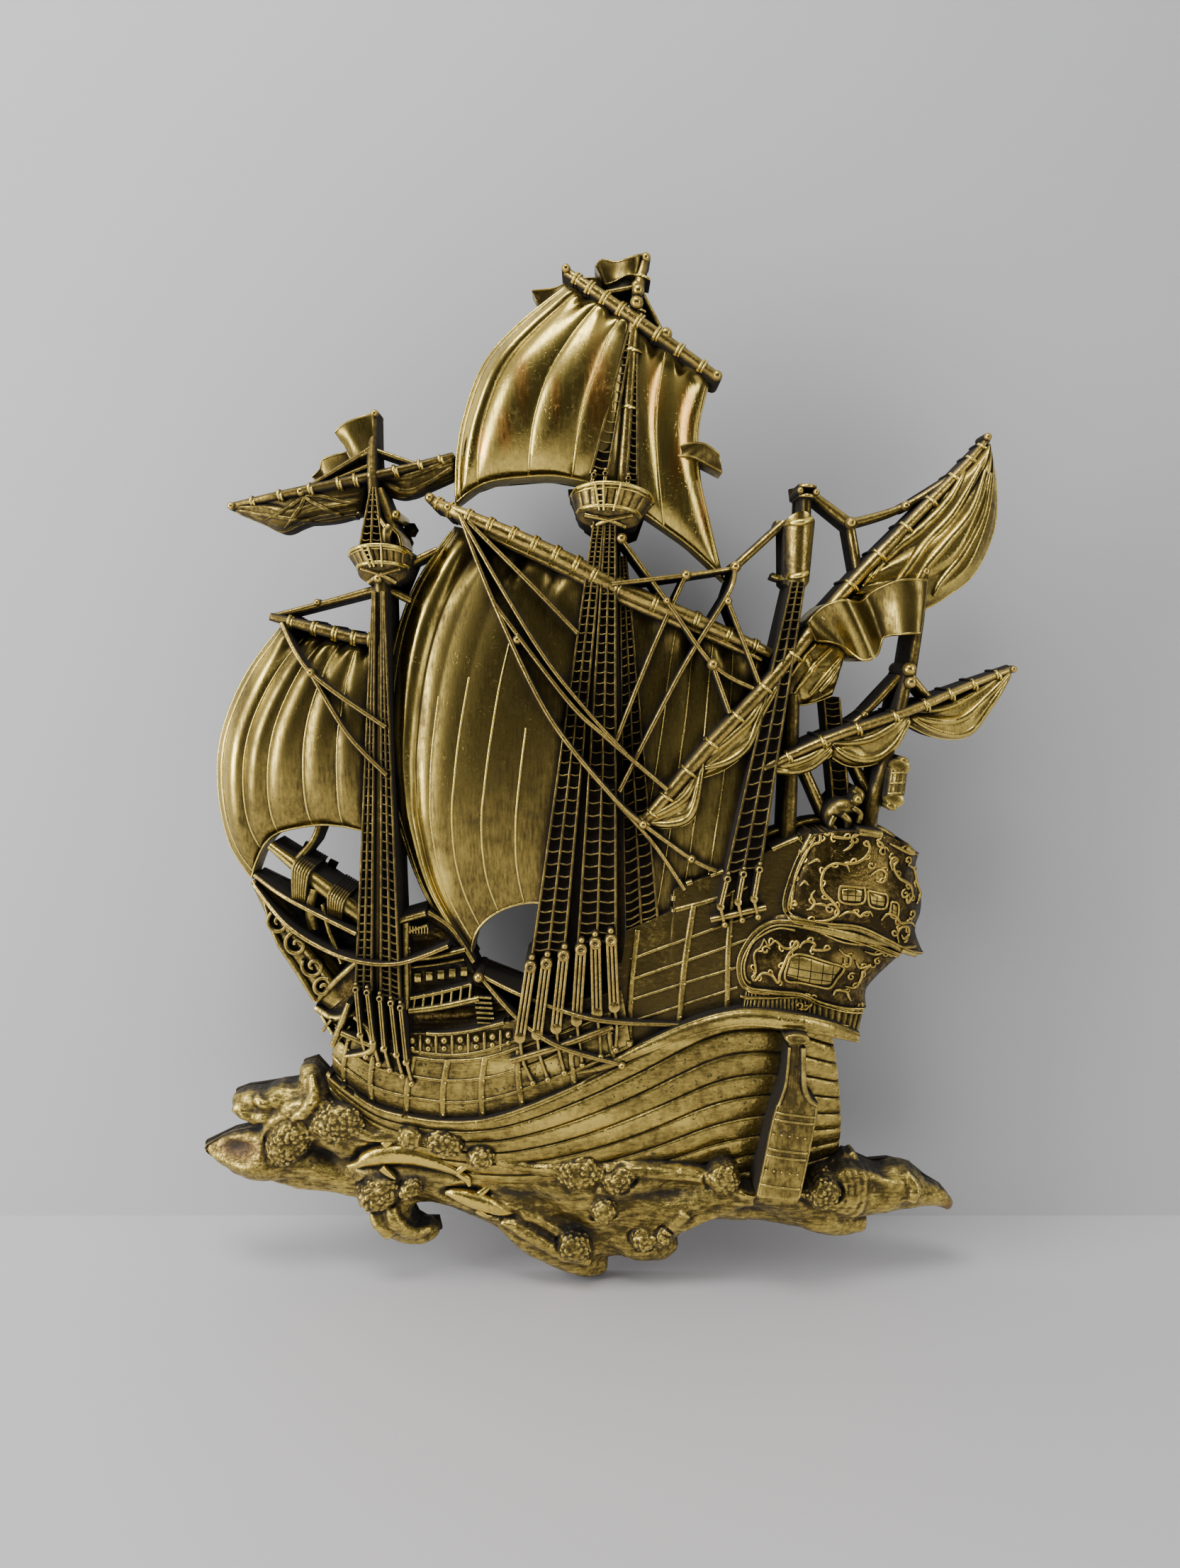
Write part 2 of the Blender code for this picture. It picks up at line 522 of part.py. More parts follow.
def build_castle(plaque):
    """Forecastle, bow platform, beak, anchor and bowsprit."""
    wall = patch([(-138, -272), (-122, -268), (-106, -279), (-92, -302)],
                 [(-136, -346), (-116, -347), (-95, -345), (-68, -337)],
                 [(-138, -272), (-136, -346)], [(-92, -302), (-84, -318), (-68, -337)])
    plaque.add("cabin", 3, 3, lambda u, v: wall(u, v) + (30.0 + 6.0 * v,))
    plaque.ridge("cabin_post", [(-135, -276, 38), (-135, -300, 40), (-135, -328, 42)], 5.0)
    plaque.ridge("cabin_floor", [(-133, -331, 45, 5), (-113, -328, 46, 5), (-88, -323, 44, 5)], 5.0)
    plaque.ridge("cabin_rail", [(-132, -323, 43), (-113, -319, 44), (-93, -314, 42)], 3.0)
    plaque.ridge("cabin_lintel", [(-134, -298, 40), (-116, -296, 40), (-97, -293, 38)], 4.0)
    plaque.ridge("top_rail", [(-139, -274, 38), (-122, -269, 38)], 4.5)
    plaque.ridge("stairs", [(-86, -322, 41, 9), (-85, -341, 41, 11)], 10.0, sides=2)
    bow = patch([(-197, -332), (-182, -314), (-167, -299), (-150, -290), (-132, -290)],
                [(-190, -350), (-176, -356), (-160, -360), (-145, -358), (-132, -352)],
                [(-197, -332), (-190, -350)], [(-132, -290), (-132, -352)])
    plaque.add("bow_platform", 4, 3, lambda u, v: bow(u, v) + (22.0 + 18.0 * u ** 0.5,))
    plaque.ridge("platform_edge", [(-196, -329, 28, 3), (-181, -313, 38, 4), (-167, -300, 42, 4)], 4.0)
    plaque.ridge("platform_sill", [(-197, -333, 28, 5), (-183, -338, 36, 6), (-168, -333, 40, 4)], 5.0)
    plaque.ridge("bowsprit", [(-223, -225, 33, 5), (-204, -239, 38, 8), (-184, -254, 42, 10), (-160, -272, 44, 11)],
                 8.0, legs=4, sides=4)
    plaque.ridge("sprit_arm", [(-192, -212, 26, 5), (-197, -224, 28, 5), (-207, -236, 34, 6)], 5.0)
    for number, (x, z) in enumerate(((-208, -236), (-192, -248), (-169, -265))):
        plaque.ridge(f"lashing_{number}", [(x + 4, z + 8, 40), (x - 4, z - 7, 40)], 6.0, legs=1, sides=2)
    plaque.ridge("bob_band", [(-194, -252, 38, 8), (-197, -264, 36, 8), (-196, -280, 32, 7)], 8.0)
    plaque.ridge("beak_back", [(-238, -250, 18, 6), (-222, -272, 24, 16), (-208, -294, 28, 22),
                               (-194, -312, 30, 26), (-180, -328, 32, 24)], 12.0, legs=6, sides=4, flat=0.35)
    for number, (x, z) in enumerate(((-212, -280), (-200, -298), (-190, -314))):
        plaque.boss(f"beak_curl_{number}", x, z, [(8, 26 + 2 * number), (6.5, 33 + 2 * number), (0, 36 + 2 * number)],
                    sides=6)
    anchor = {
        "anchor_stock": [(-171, -325, 46, 4), (-176, -338, 46, 5), (-183, -354, 44, 4)],
        "anchor_shank": [(-176, -344, 48, 4), (-156, -352, 50, 4)],
        "anchor_arms": [(-168, -334, 46, 3), (-158, -342, 50, 4), (-155, -352, 52, 4), (-161, -357, 50, 4),
                        (-174, -360, 46, 3)],
    }
    for name, points in anchor.items():
        plaque.ridge(name, points, 4.0, legs=len(points) + 1, sides=2)


def build_masts(plaque):
    """Masts, yards, fighting tops and the long mizzen yard."""
    spars = {
        "main_mast": [(-3, -24, 46, 12), (-1, -93, 50, 13), (2, -190, 50, 14), (5, -300, 48, 15)],
        "main_topmast": [(18, 144, 24, 6), (14, 124, 30, 7), (10, 95, 38, 8), (8, 60, 38, 9), (4, 0, 38, 10)],
        "main_yard": [(-117, -6, 34, 5), (-98, -16, 46, 8), (-65, -30, 49, 10), (-32, -45, 50, 11),
                      (0, -61, 48, 11), (60, -86, 44, 9), (98, -102, 36, 6)],
        "topsail_yard": [(-31, 130, 34, 5), (-8, 114, 38, 7), (24, 92, 40, 7), (62, 68, 33, 6)],
        "fore_mast": [(-147, -58, 40, 10), (-147, -93, 46, 11), (-149, -181, 48, 12), (-151, -272, 46, 12),
                      (-152, -316, 44, 12)],
        "fore_staff": [(-152, 48, 20, 4), (-153, 26, 28, 6), (-152, 0, 34, 6), (-150, -38, 36, 6)],
        "fore_gallant_yard": [(-244, -9, 20, 6), (-212, -3, 28, 5), (-174, 4, 31, 6), (-154, 8, 31, 6),
                              (-124, 16, 25, 5), (-103, 23, 17, 5)],
        "fore_yard": [(-218, -79, 34, 5), (-190, -86, 40, 7), (-165, -92, 42, 7), (-147, -94, 42, 7)],
        "mizzen_mast": [(120, 3, 24, 9), (120, -16, 26, 10)],
        "mizzen_lower_mast": [(113, -128, 32, 9), (113, -170, 32, 9), (112, -222, 32, 10)],
        "mizzen_yard": [(236, 33, 18, 4), (220, 15, 22, 6), (184, -21, 28, 7), (142, -65, 36, 8),
                        (98, -118, 44, 9), (58, -161, 46, 9), (26, -199, 46, 8), (15, -210, 44, 5)],
        "bonaventure_pole": [(186, -113, 32, 8), (181, -136, 36, 7), (172, -172, 36, 8), (166, -196, 34, 9),
                             (163, -216, 32, 10)],
        "bonaventure_yard": [(93, -174, 44, 5), (135, -155, 44, 6), (187, -138, 37, 6), (225, -123, 28, 5),
                             (259, -111, 19, 4)],
        "ensign_staff": [(194, -52, 34, 4), (191, -79, 38, 5), (187, -116, 34, 7)],
        "mizzen_cap": [(113, 0, 27, 8), (120, 1, 29, 9), (127, 0, 27, 8)],
    }
    for name, points in spars.items():
        plaque.ridge(name, points, YARD, legs=len(points) - 1, sides=3)
    build_top(plaque, "main_top", (-3, -1), 26.0, (-3, -26), 17.0, 38.0)
    build_top(plaque, "fore_top", (-147, -40), 21.0, (-147, -61), 12.0, 32.0)
    barrel = patch([(105, -20), (112, -15), (118, -15), (125, -20)],
                   [(106, -58), (111, -62), (117, -62), (122, -56)],
                   [(105, -20), (105, -40), (106, -58)], [(125, -20), (124, -40), (122, -56)])
    plaque.add("mizzen_top", 4, 3, lambda u, v: barrel(u, v) + (26.0 + 12.0 * swell(u, 0.5),))


def build_top(plaque, name, rim, half, foot, half_low, depth):
    """A round basket with a heavy rim, seen a little from below."""
    def front(u, v):
        across = 2.0 * u - 1.0
        bow = math.sqrt(max(0.0, 1.0 - across * across))
        reach = half + (half_low - half) * v
        x = rim[0] + (foot[0] - rim[0]) * v + reach * across
        z = rim[1] + (foot[1] - rim[1]) * v - 2.5 * across - 4.0 * v * bow + 2.0 * (1 - v) * bow
        return x, z, depth + (18.0 - 8.0 * v) * bow
    plaque.add(name, 6, 3, front)
    rim_line = []
    for step in range(7):
        across = step / 3.0 - 1.0
        bow = math.sqrt(max(0.0, 1.0 - across * across))
        rim_line.append((rim[0] + (half + 1.5) * across, rim[1] - 2.5 * across + 2.0 * bow, depth + 3.0 + 18.0 * bow))
    plaque.ridge(name + "_rim", rim_line, 4.5, legs=6, sides=2)


def build_rigging(plaque):
    """Shrouds on their dark webs, deadeyes, and the running ropes."""
    webs = {
        "main_shrouds_left": ([(-14, -24), (-10, -24)], [(-53, -292), (-34, -292)], 45, 45, 3),
        "main_shrouds_middle": ([(-8, -24), (-4, -24)], [(-24, -286), (-2, -286)], 45, 45, 3),
        "main_shrouds_far": ([(1, -42), (4, -42)], [(6, -276), (27, -270)], 38, 38, 3),
        "topmast_shrouds_left": ([(7, 92), (9, 92)], [(-16, 4), (-6, 2)], 38, 38, 2),
        "topmast_shrouds_right": ([(10, 92), (12, 92)], [(5, 2), (14, 0)], 36, 36, 2),
        "fore_shrouds_left": ([(-152, -72), (-148, -72)], [(-166, -316), (-156, -316)], 44, 46, 2),
        "fore_shrouds_right": ([(-146, -72), (-142, -72)], [(-150, -320), (-138, -324)], 44, 46, 2),
        "fore_topmast_shrouds": ([(-151, 0), (-149, 0)], [(-159, -40), (-146, -40)], 36, 38, 2),
        "mizzen_shrouds": ([(109, -58), (117, -58)], [(70, -242), (90, -238)], 40, 46, 3),
        "bonaventure_shrouds": ([(134, -130), (144, -130)], [(143, -206), (153, -206)], 22, 22, 2),
    }
    for name, (head, foot, high, low, count) in webs.items():
        plaque.shrouds(name, head, foot, high, low, count)
    main_rows = [((-54, -299), (-61, -345)), ((-44, -297), (-50, -343)), ((-33, -292), (-38, -339)),
                 ((-22, -288), (-25, -334)), ((-13, -284), (-12, -329)), ((-3, -282), (-1, -325))]
    for number, (head, foot) in enumerate(main_rows):
        plaque.ridge(f"main_lanyard_{number}", [head + (52,), foot + (54,)], 6.5, legs=1, sides=2)
        chain = (foot[0] + 8 - 1.4 * number, foot[1] - 31 + 0.4 * number)
        plaque.ridge(f"main_chain_{number}", [foot + (53,), chain + (50,)], 2.8, legs=1, sides=2)
    for number in range(3):
        head = (-164 + 12.0 * number, -314 - 4.6 * number)
        foot = (-161 + 11.0 * number, -344 - 7.5 * number)
        plaque.ridge(f"fore_lanyard_{number}", [head + (50,), foot + (51,)], 5.0, legs=1, sides=2)
    for number in range(3):
        head = (70 + 10 * number, -243 + 3 * number)
        foot = (66 + 10.5 * number, -261 + 2.5 * number)
        plaque.ridge(f"mizzen_lanyard_{number}", [head + (50,), foot + (50,)], 4.5, legs=1, sides=2)
    ropes = {
        "main_channel": [(-67, -361, 54, 4), (-33, -350, 55, 4), (-2, -338, 54, 4)],
        "mizzen_channel": [(60, -270, 50, 4), (95, -262, 50, 4)],
        "brace_long": [(-96, -18, 48), (-75, -72, 54), (-42, -140, 60), (-3, -190, 57), (17, -209, 50)],
        "brace_upper": [(-75, -72, 54), (-30, -131, 60), (-6, -154, 57), (32, -187, 50)],
        "brace_short": [(-91, -22, 48), (-52, -61, 54), (-24, -90, 52)],
        "cross_mast_to_mizzen": [(-3, -60, 54), (43, -54, 44), (74, -49, 32)],
        "cross_down": [(3, -32, 46), (31, -70, 48), (60, -109, 46), (86, -124, 42)],
        "cross_fall": [(60, -109, 46), (71, -139, 46)],
        "cross_back": [(42, -56, 44), (22, -101, 46), (0, -156, 50)],
        "cross_long": [(75, -47, 32), (69, -66, 46), (40, -114, 46), (2, -188, 50)],
        "cross_right": [(69, -70, 46), (90, -121, 42)],
        "mizzen_brace": [(106, -20, 28, 5), (74, -49, 30, 5)],
        "mizzen_line_1": [(124, -1, 20, 6), (149, -20, 22, 7)],
        "mizzen_line_2": [(149, -20, 22, 6), (184, -9, 20, 5), (220, 14, 20, 4)],
        "mizzen_line_3": [(149, -20, 22, 6), (155, -50, 22, 6)],
        "top_stay": [(14, 123, 26), (30, 92, 30)],
        "top_lift": [(-6, 118, 32), (12, 122, 30)],
        "sheet_upper": [(-89, -308, 38), (-59, -320, 48), (-15, -332, 58), (28, -338, 50), (50, -339, 48)],
        "sheet_lower": [(-89, -308, 38), (-64, -333, 50), (-36, -350, 58), (4, -364, 52)],
        "fore_lift_1": [(-153, 26, 28), (-197, 0, 26)],
        "fore_lift_2": [(-152, 16, 28), (-195, -1, 26)],
        "fore_lift_3": [(-151, 25, 24), (-122, 15, 24)],
        "fore_strut": [(-149, 0, 32, 6), (-136, -34, 34, 6)],
        "fore_stay_left": [(-150, -61, 30, 5), (-184, -70, 28, 4), (-219, -79, 28, 4)],
        "fore_stay_right": [(-144, -62, 26, 5), (-128, -70, 22, 5)],
        "fore_stay_up": [(-132, -45, 22, 5), (-114, -36, 20, 4)],
        "fore_brace_1": [(-210, -83, 38), (-190, -114, 48), (-144, -148, 48)],
        "fore_brace_2": [(-190, -114, 48), (-168, -152, 48), (-144, -178, 48)],
        "head_rope_1": [(-236, -246, 24), (-210, -259, 39), (-165, -279, 50)],
        "head_rope_2": [(-236, -252, 26), (-213, -274, 40), (-190, -288, 46), (-164, -296, 53), (-137, -298, 50),
                        (-107, -288, 46)],
        "lateen_stay_1": [(182, -117, 28, 5), (160, -141, 26, 4), (138, -156, 30, 4)],
        "lateen_stay_2": [(190, -117, 26, 5), (203, -132, 24, 5)],
        "stern_strut_1": [(121, -172, 22, 6), (139, -211, 22, 7)],
        "stern_strut_2": [(155, -172, 24, 5), (168, -198, 26, 6)],
    }
    for name, points in ropes.items():
        plaque.ridge(name, points, ROPE, legs=len(points) - 1, sides=2)


def build_flags(plaque):
    """Main flag, its tail, the fore flag, the pennant and the big ensign."""
    def cloth(name, top, low, depth, wave, waves, steps):
        outline = patch(top, low, [top[0], low[0]], [top[-1], low[-1]])
        plaque.add(name, steps, 1,
                   lambda u, v: outline(u, v) + (depth + wave * math.sin(2.0 * math.pi * waves * u),))
    cloth("ensign", [(192, -57), (174, -57), (160, -63), (151, -70), (139, -69), (128, -73), (119, -83)],
          [(188, -90), (175, -91), (167, -93), (162, -103), (152, -107), (141, -97), (124, -94)],
          40.0, 4.0, 1.8, 12)
    cloth("main_flag", [(15, 142), (8, 139), (0, 138), (-9, 140), (-13, 135)],
          [(12, 129), (6, 129), (0, 127), (-7, 125), (-9, 127)], 26.0, 3.0, 1.0, 6)
    cloth("main_flag_tail", [(-6, 131), (-21, 131), (-31, 129), (-39, 126), (-53, 124)],
          [(-4, 110), (-24, 112), (-40, 114), (-46, 116), (-50, 118)], 15.0, 2.0, 1.0, 5)
    cloth("fore_flag", [(-152, 47), (-162, 44), (-170, 41), (-177, 36)],
          [(-152, 24), (-158, 21), (-166, 19), (-169, 24)], 24.0, 3.0, 0.6, 5)
    cloth("fore_flag_tail", [(-166, 26), (-176, 24), (-187, 21), (-189, 15), (-194, 10)],
          [(-160, 18), (-172, 12), (-182, 8), (-186, 7), (-189, 5)], 14.0, 2.0, 1.0, 5)
    cloth("pennant", [(36, 25), (45, 28), (55, 28), (65, 22)],
          [(38, 20), (46, 20), (55, 17), (67, 11)], 27.0, 3.0, 0.6, 5)
    plaque.boss("sailor", -137, -30, [(7, 30), (6, 38), (0, 40)], sides=6, stretch=0.8)
    plaque.boss("sailor_head", -133, -22, [(5, 32), (4, 38), (0, 40)], sides=6)


def finish(body):
    material = bpy.data.materials.new("antique_gold")
    material.use_nodes = True
    shader = material.node_tree.nodes["Principled BSDF"]
    shader.inputs["Base Color"].default_value = gold
    shader.inputs["Metallic"].default_value = 0.85
    shader.inputs["Roughness"].default_value = 0.34
    body.data.materials.clear()
    body.data.materials.append(material)


def main():
    clear_scene()
    plaque = Plaque("ship_plaque")
    build_sea(plaque)
    build_hull(plaque)
    build_stern(plaque)
    build_castle(plaque)
    build_sails(plaque)
    build_masts(plaque)
    build_rigging(plaque)
    build_flags(plaque)
    finish(plaque.fuse())


main()
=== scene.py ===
# Galleon wall plaque in antique gold.
# Places are (x, z) in millimetres from the hanger pad; a depth is the distance in front of the flat back.
import math

import bmesh
import bpy
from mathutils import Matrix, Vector, noise
from mathutils.bvhtree import BVHTree


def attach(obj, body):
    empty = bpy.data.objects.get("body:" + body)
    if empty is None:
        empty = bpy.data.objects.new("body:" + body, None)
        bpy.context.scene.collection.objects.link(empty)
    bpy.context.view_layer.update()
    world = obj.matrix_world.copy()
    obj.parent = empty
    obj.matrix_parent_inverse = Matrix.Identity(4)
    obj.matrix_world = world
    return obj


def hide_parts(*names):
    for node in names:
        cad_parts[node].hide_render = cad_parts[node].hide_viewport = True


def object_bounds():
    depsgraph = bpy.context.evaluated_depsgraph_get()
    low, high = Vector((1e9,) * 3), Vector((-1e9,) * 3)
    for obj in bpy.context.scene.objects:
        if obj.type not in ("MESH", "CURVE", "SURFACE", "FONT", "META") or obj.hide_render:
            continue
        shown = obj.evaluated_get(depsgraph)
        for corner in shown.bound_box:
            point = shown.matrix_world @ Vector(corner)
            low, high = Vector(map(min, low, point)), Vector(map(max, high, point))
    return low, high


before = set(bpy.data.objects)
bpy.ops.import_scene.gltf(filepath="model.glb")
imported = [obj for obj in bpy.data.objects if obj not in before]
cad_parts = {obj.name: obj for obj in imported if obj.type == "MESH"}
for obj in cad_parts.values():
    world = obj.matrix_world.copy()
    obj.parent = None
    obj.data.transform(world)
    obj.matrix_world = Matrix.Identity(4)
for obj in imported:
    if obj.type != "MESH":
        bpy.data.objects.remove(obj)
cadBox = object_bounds()
mm = 0.001
rootDepth = 2.0  # every form runs back to here, inside the back plate
grounds = {}  # the broad surfaces that ropes and scrolls lie on


# Shared shapes

def placed(name, data):
    made = bpy.data.objects.new(name, data)
    bpy.context.scene.collection.objects.link(made)
    return made


def meshFrom(name, form):
    mesh = bpy.data.meshes.new(name)
    form.to_mesh(mesh)
    form.free()
    return mesh


def along(points, t):  # smooth line through a few measured points
    last = len(points) - 1
    if last == 0:
        return tuple(points[0])
    leg = min(int(t * last), last - 1)
    s = t * last - leg
    before, start = points[max(leg - 1, 0)], points[leg]
    end, after = points[leg + 1], points[min(leg + 2, last)]
    place = []
    for a, b, c, d in zip(before, start, end, after):
        bend = (2 * a - 5 * b + 4 * c - d) * s * s + (3 * b - a - 3 * c + d) * s ** 3
        place.append(0.5 * (2 * b + (c - a) * s + bend))
    return tuple(place)


def shares(count, first=0.0, last=1.0):  # even values from first to last, with both ends
    return [first + (last - first) * number / count for number in range(count + 1)]


def mix(a, b, t):
    return tuple(p + (q - p) * t for p, q in zip(a, b))


def swell(t, power=0.5):  # zero at both ends, one in the middle
    return max(0.0, 4 * t * (1 - t)) ** power


def hump(x, middle, width):
    return math.exp(-((x - middle) / width) ** 2)


def arch(across):  # half circle over -1 to 1
    return math.sqrt(max(0.0, 1 - across * across))


def clipped(value):
    return min(1.0, max(0.0, value))


def ripple(x, z, wide, seed, high):  # soft noise over the relief; each seed has its own pattern
    return noise.noise(Vector((x * wide, seed, z * high)))


def heading(a, b):  # direction from a to b, seen from the front
    return Vector((b[0] - a[0], b[1] - a[1])).normalized()


def turned(a, b, degrees):  # the same offset along turned axes
    c, s = math.cos(math.radians(degrees)), math.sin(math.radians(degrees))
    return a * c + b * s, b * c - a * s


def patch(top, bottom, left=None, right=None):  # surface between four edge lines
    left = left or [top[0], bottom[0]]
    right = right or [top[-1], bottom[-1]]
    known = {}

    def edge(name, line, t):
        if (name, t) not in known:
            known[name, t] = along(line, t)
        return known[name, t]

    def place(u, v):
        across = mix(edge("top", top, u), edge("bottom", bottom, u), v)
        down = mix(edge("left", left, v), edge("right", right, v), u)
        corner = mix(mix(top[0], top[-1], u), mix(bottom[0], bottom[-1], u), v)
        return tuple(a + b - c for a, b, c in zip(across, down, corner))
    return place


def depthAt(names, x, z, otherwise=15.0):  # depth of the nearest of these grounds
    best = None
    for name in names:
        hit = grounds[name].ray_cast(Vector((x * mm, -1, z * mm)), Vector((0, 1, 0)))[0]
        if hit is not None:
            best = max(best or 0.0, -hit.y / mm)
    return otherwise if best is None else best


def lineLength(line):
    return sum(math.dist(a[:2], b[:2]) for a, b in zip(line, line[1:]))


class Relief:  # one piece of the moulding, made of forms with a shaped front, closed behind

    def __init__(self, name, walls=None):
        self.name = name
        self.walls = walls  # finish of the walls behind the rims, where it differs
        self.bm = bmesh.new()

    def take(self, form, finish=0):
        wallEnd = -(rootDepth + 0.01) * mm
        for face in form.faces:
            behind = self.walls is not None and max(vert.co.y for vert in face.verts) > wallEnd
            face.material_index = self.walls if behind else finish
            face.smooth = True
        mesh = meshFrom("form", form)
        self.bm.from_mesh(mesh)
        bpy.data.meshes.remove(mesh)

    def sheet(self, columns, rows, front, ground=None, finish=0, root=rootDepth):
        form = bmesh.new()
        bmesh.ops.create_grid(form, x_segments=columns, y_segments=rows, size=0.5)
        for vert in form.verts:
            x, z, depth = front(vert.co.x + 0.5, 0.5 - vert.co.y)
            vert.co = (x * mm, -depth * mm, z * mm)
        bmesh.ops.remove_doubles(form, verts=form.verts, dist=0.02 * mm)
        if ground:
            grounds[ground] = BVHTree.FromBMesh(form)
        rim = [edge for edge in form.edges if edge.is_boundary]
        drawn = bmesh.ops.extrude_edge_only(form, edges=rim)["geom"]
        for vert in drawn:
            if isinstance(vert, bmesh.types.BMVert):
                vert.co.y = -root * mm
        behind = [edge for edge in drawn if isinstance(edge, bmesh.types.BMEdge)]
        bmesh.ops.contextual_create(form, geom=behind)
        bmesh.ops.recalc_face_normals(form, faces=form.faces)
        self.take(form, finish)

    def rib(self, points, width=0, over=None, lift=2.0, sides=6, flat=0.5, step=2.2, finish=0):
        # rounded rib; points are (x, z, depth[, width]) or, over grounds, (x, z[, width])
        legs = max(len(points) - 1, 1, round(lineLength(points) / step))
        line = [along(points, t) for t in shares(legs)]
        if over:
            line = [(x, z, depthAt(over, x, z) + lift, *rest) for x, z, *rest in line]
        runs = [heading(line[max(number - 1, 0)], line[min(number + 1, legs)]) for number in range(legs + 1)]

        def front(u, v):
            number = round(v * legs)
            x, z, depth, *rest = line[number]
            half = (rest[0] if rest else width) / 2
            side = math.sin((1 - 2 * u) * math.pi / 2)
            drop = half * 2 * flat * (1 - arch(side))
            run = runs[number]
            return x - run.y * side * half, z + run.x * side * half, depth - drop
        self.sheet(sides, legs, front, finish=finish)

    def knob(self, x, z, rings, sides=12, stretch=1.0, turn=0.0, steps=4, finish=0):
        # turned knob facing out; rings are (radius, depth) from the rim to the top, turn is in radians
        c, s = math.cos(turn), math.sin(turn)

        def front(u, v):
            radius, depth = along(rings, v)
            a = radius * stretch * math.cos(2 * math.pi * u)
            b = radius * math.sin(2 * math.pi * u)
            return x + a * c - b * s, z + a * s + b * c, depth
        self.sheet(sides, steps, front, finish=finish)

    def ball(self, x, z, radius, depth, sides=8, stretch=1.0, turn=0.0, finish=0):
        low = depth - radius
        rings = [(radius, low), (radius * 0.87, low + radius * 0.5), (radius * 0.5, low + radius * 0.87),
                 (0, depth)]
        self.knob(x, z, rings, sides, stretch, turn, 3, finish)

    def bands(self, line, every, width, reach, rise, finish):
        # lashings that cross a spar at even distances
        count = max(1, round(lineLength(line) / every))
        for t in shares(count)[1:-1]:
            run = heading(along(line, t - 0.04 / count), along(line, t + 0.04 / count))
            x, z, depth, thick = along(line, t)
            half = thick / 2 + reach
            low = depth - thick * 0.35
            ends = [(x - run.y * half, z + run.x * half, low), (x, z, depth + rise),
                    (x + run.y * half, z - run.x * half, low)]
            self.rib(ends, width, sides=4, step=1.5, finish=finish)

    def done(self, finishes, sharp=48):
        mesh = meshFrom(self.name, self.bm)
        mesh.set_sharp_from_angle(angle=math.radians(sharp))
        for finish in finishes:
            mesh.materials.append(finish)
        piece = placed(self.name, mesh)
        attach(piece, "root")
        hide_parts("ship_plaque")
        triangles = sum(len(polygon.vertices) - 2 for polygon in mesh.polygons)
        print(self.name, "triangles", triangles)


# Shader maths

class Wire:  # wraps one output socket of a material

    def __init__(self, tree, out=None):
        self.tree = tree
        self.out = out

    def node(self, kind, settings=None, feeds=None, out=0):
        made = self.tree.nodes.new("ShaderNode" + kind)
        for key, value in (settings or {}).items():
            setattr(made, key, value)
        for key, value in (feeds or {}).items():
            if isinstance(value, Wire):
                self.tree.links.new(value.out, made.inputs[key])
            else:
                made.inputs[key].default_value = value
        return Wire(self.tree, made.outputs[out])

    def into(self, node, socket):
        self.tree.links.new(self.out, node.inputs[socket])

    def math(self, operation, first, second=0.0, clamp=False):
        return self.node("Math", {"operation": operation, "use_clamp": clamp}, {0: first, 1: second})

    def __add__(self, other):
        return self.math("ADD", self, other)

    def __sub__(self, other):
        return self.math("SUBTRACT", self, other)

    def __rsub__(self, other):
        return self.math("SUBTRACT", other, self)

    def __mul__(self, other):
        return self.math("MULTIPLY", self, other)

    def __pow__(self, other):
        return self.math("POWER", self, other)

    def either(self, other):
        return self.math("MAXIMUM", self, other)

    def clamped(self):
        return self.math("ADD", self, 0.0, True)

    def about(self, strength):  # a noise about its middle
        return (self - 0.5) * strength

    def facing(self, way):
        return self.node("VectorMath", {"operation": "DOT_PRODUCT"}, {0: self, 1: way}, "Value")

    def clouds(self, scale, detail, rough=0.5):
        feeds = {"Vector": self, "Scale": scale, "Detail": detail, "Roughness": rough}
        return self.node("TexNoise", feeds=feeds)

    def between(self, low, high):  # 0 at low, 1 at high, smooth
        settings = {"interpolation_type": "SMOOTHSTEP"}
        return self.node("MapRange", settings, {"Value": self, "From Min": low, "From Max": high})

    def blend(self, first, second):  # colours, by this wire's value
        factor, colourA, colourB, colourOut = 0, 6, 7, 2
        feeds = {factor: self, colourA: first, colourB: second}
        return self.node("Mix", {"data_type": "RGBA"}, feeds, colourOut)


goldLook = {
    "gold": (0.80, 0.60, 0.15, 1),
    "olive": (0.125, 0.090, 0.027, 1),
    "dark": (0.012, 0.008, 0.004, 1),
    "copper": (0.82, 0.42, 0.10, 1),
    "roughGold": 0.17,
    "roughPatina": 0.40,
    "edges": 4.0,  # how far bent edges are rubbed bright
    "mottle": 1.4,
    "cloud": 1.3,
    "crevice": 9.0,  # mm that the shading of a recess reaches
    "patina": 0.45,  # share of olive film on the open faces
    "specks": 0.35,
    "speckSize": 1.6,  # mm
    "streak": (1.0, 1.0, 1.0),
    "streakRise": 0.25,
    "brush": 0.9,
    "dents": 0.5,
    "wash": 1.1,
    "facing": (0.05, 0.75),  # how the dark wash runs off the faces that look out
}
outward = (0, -1, 0)


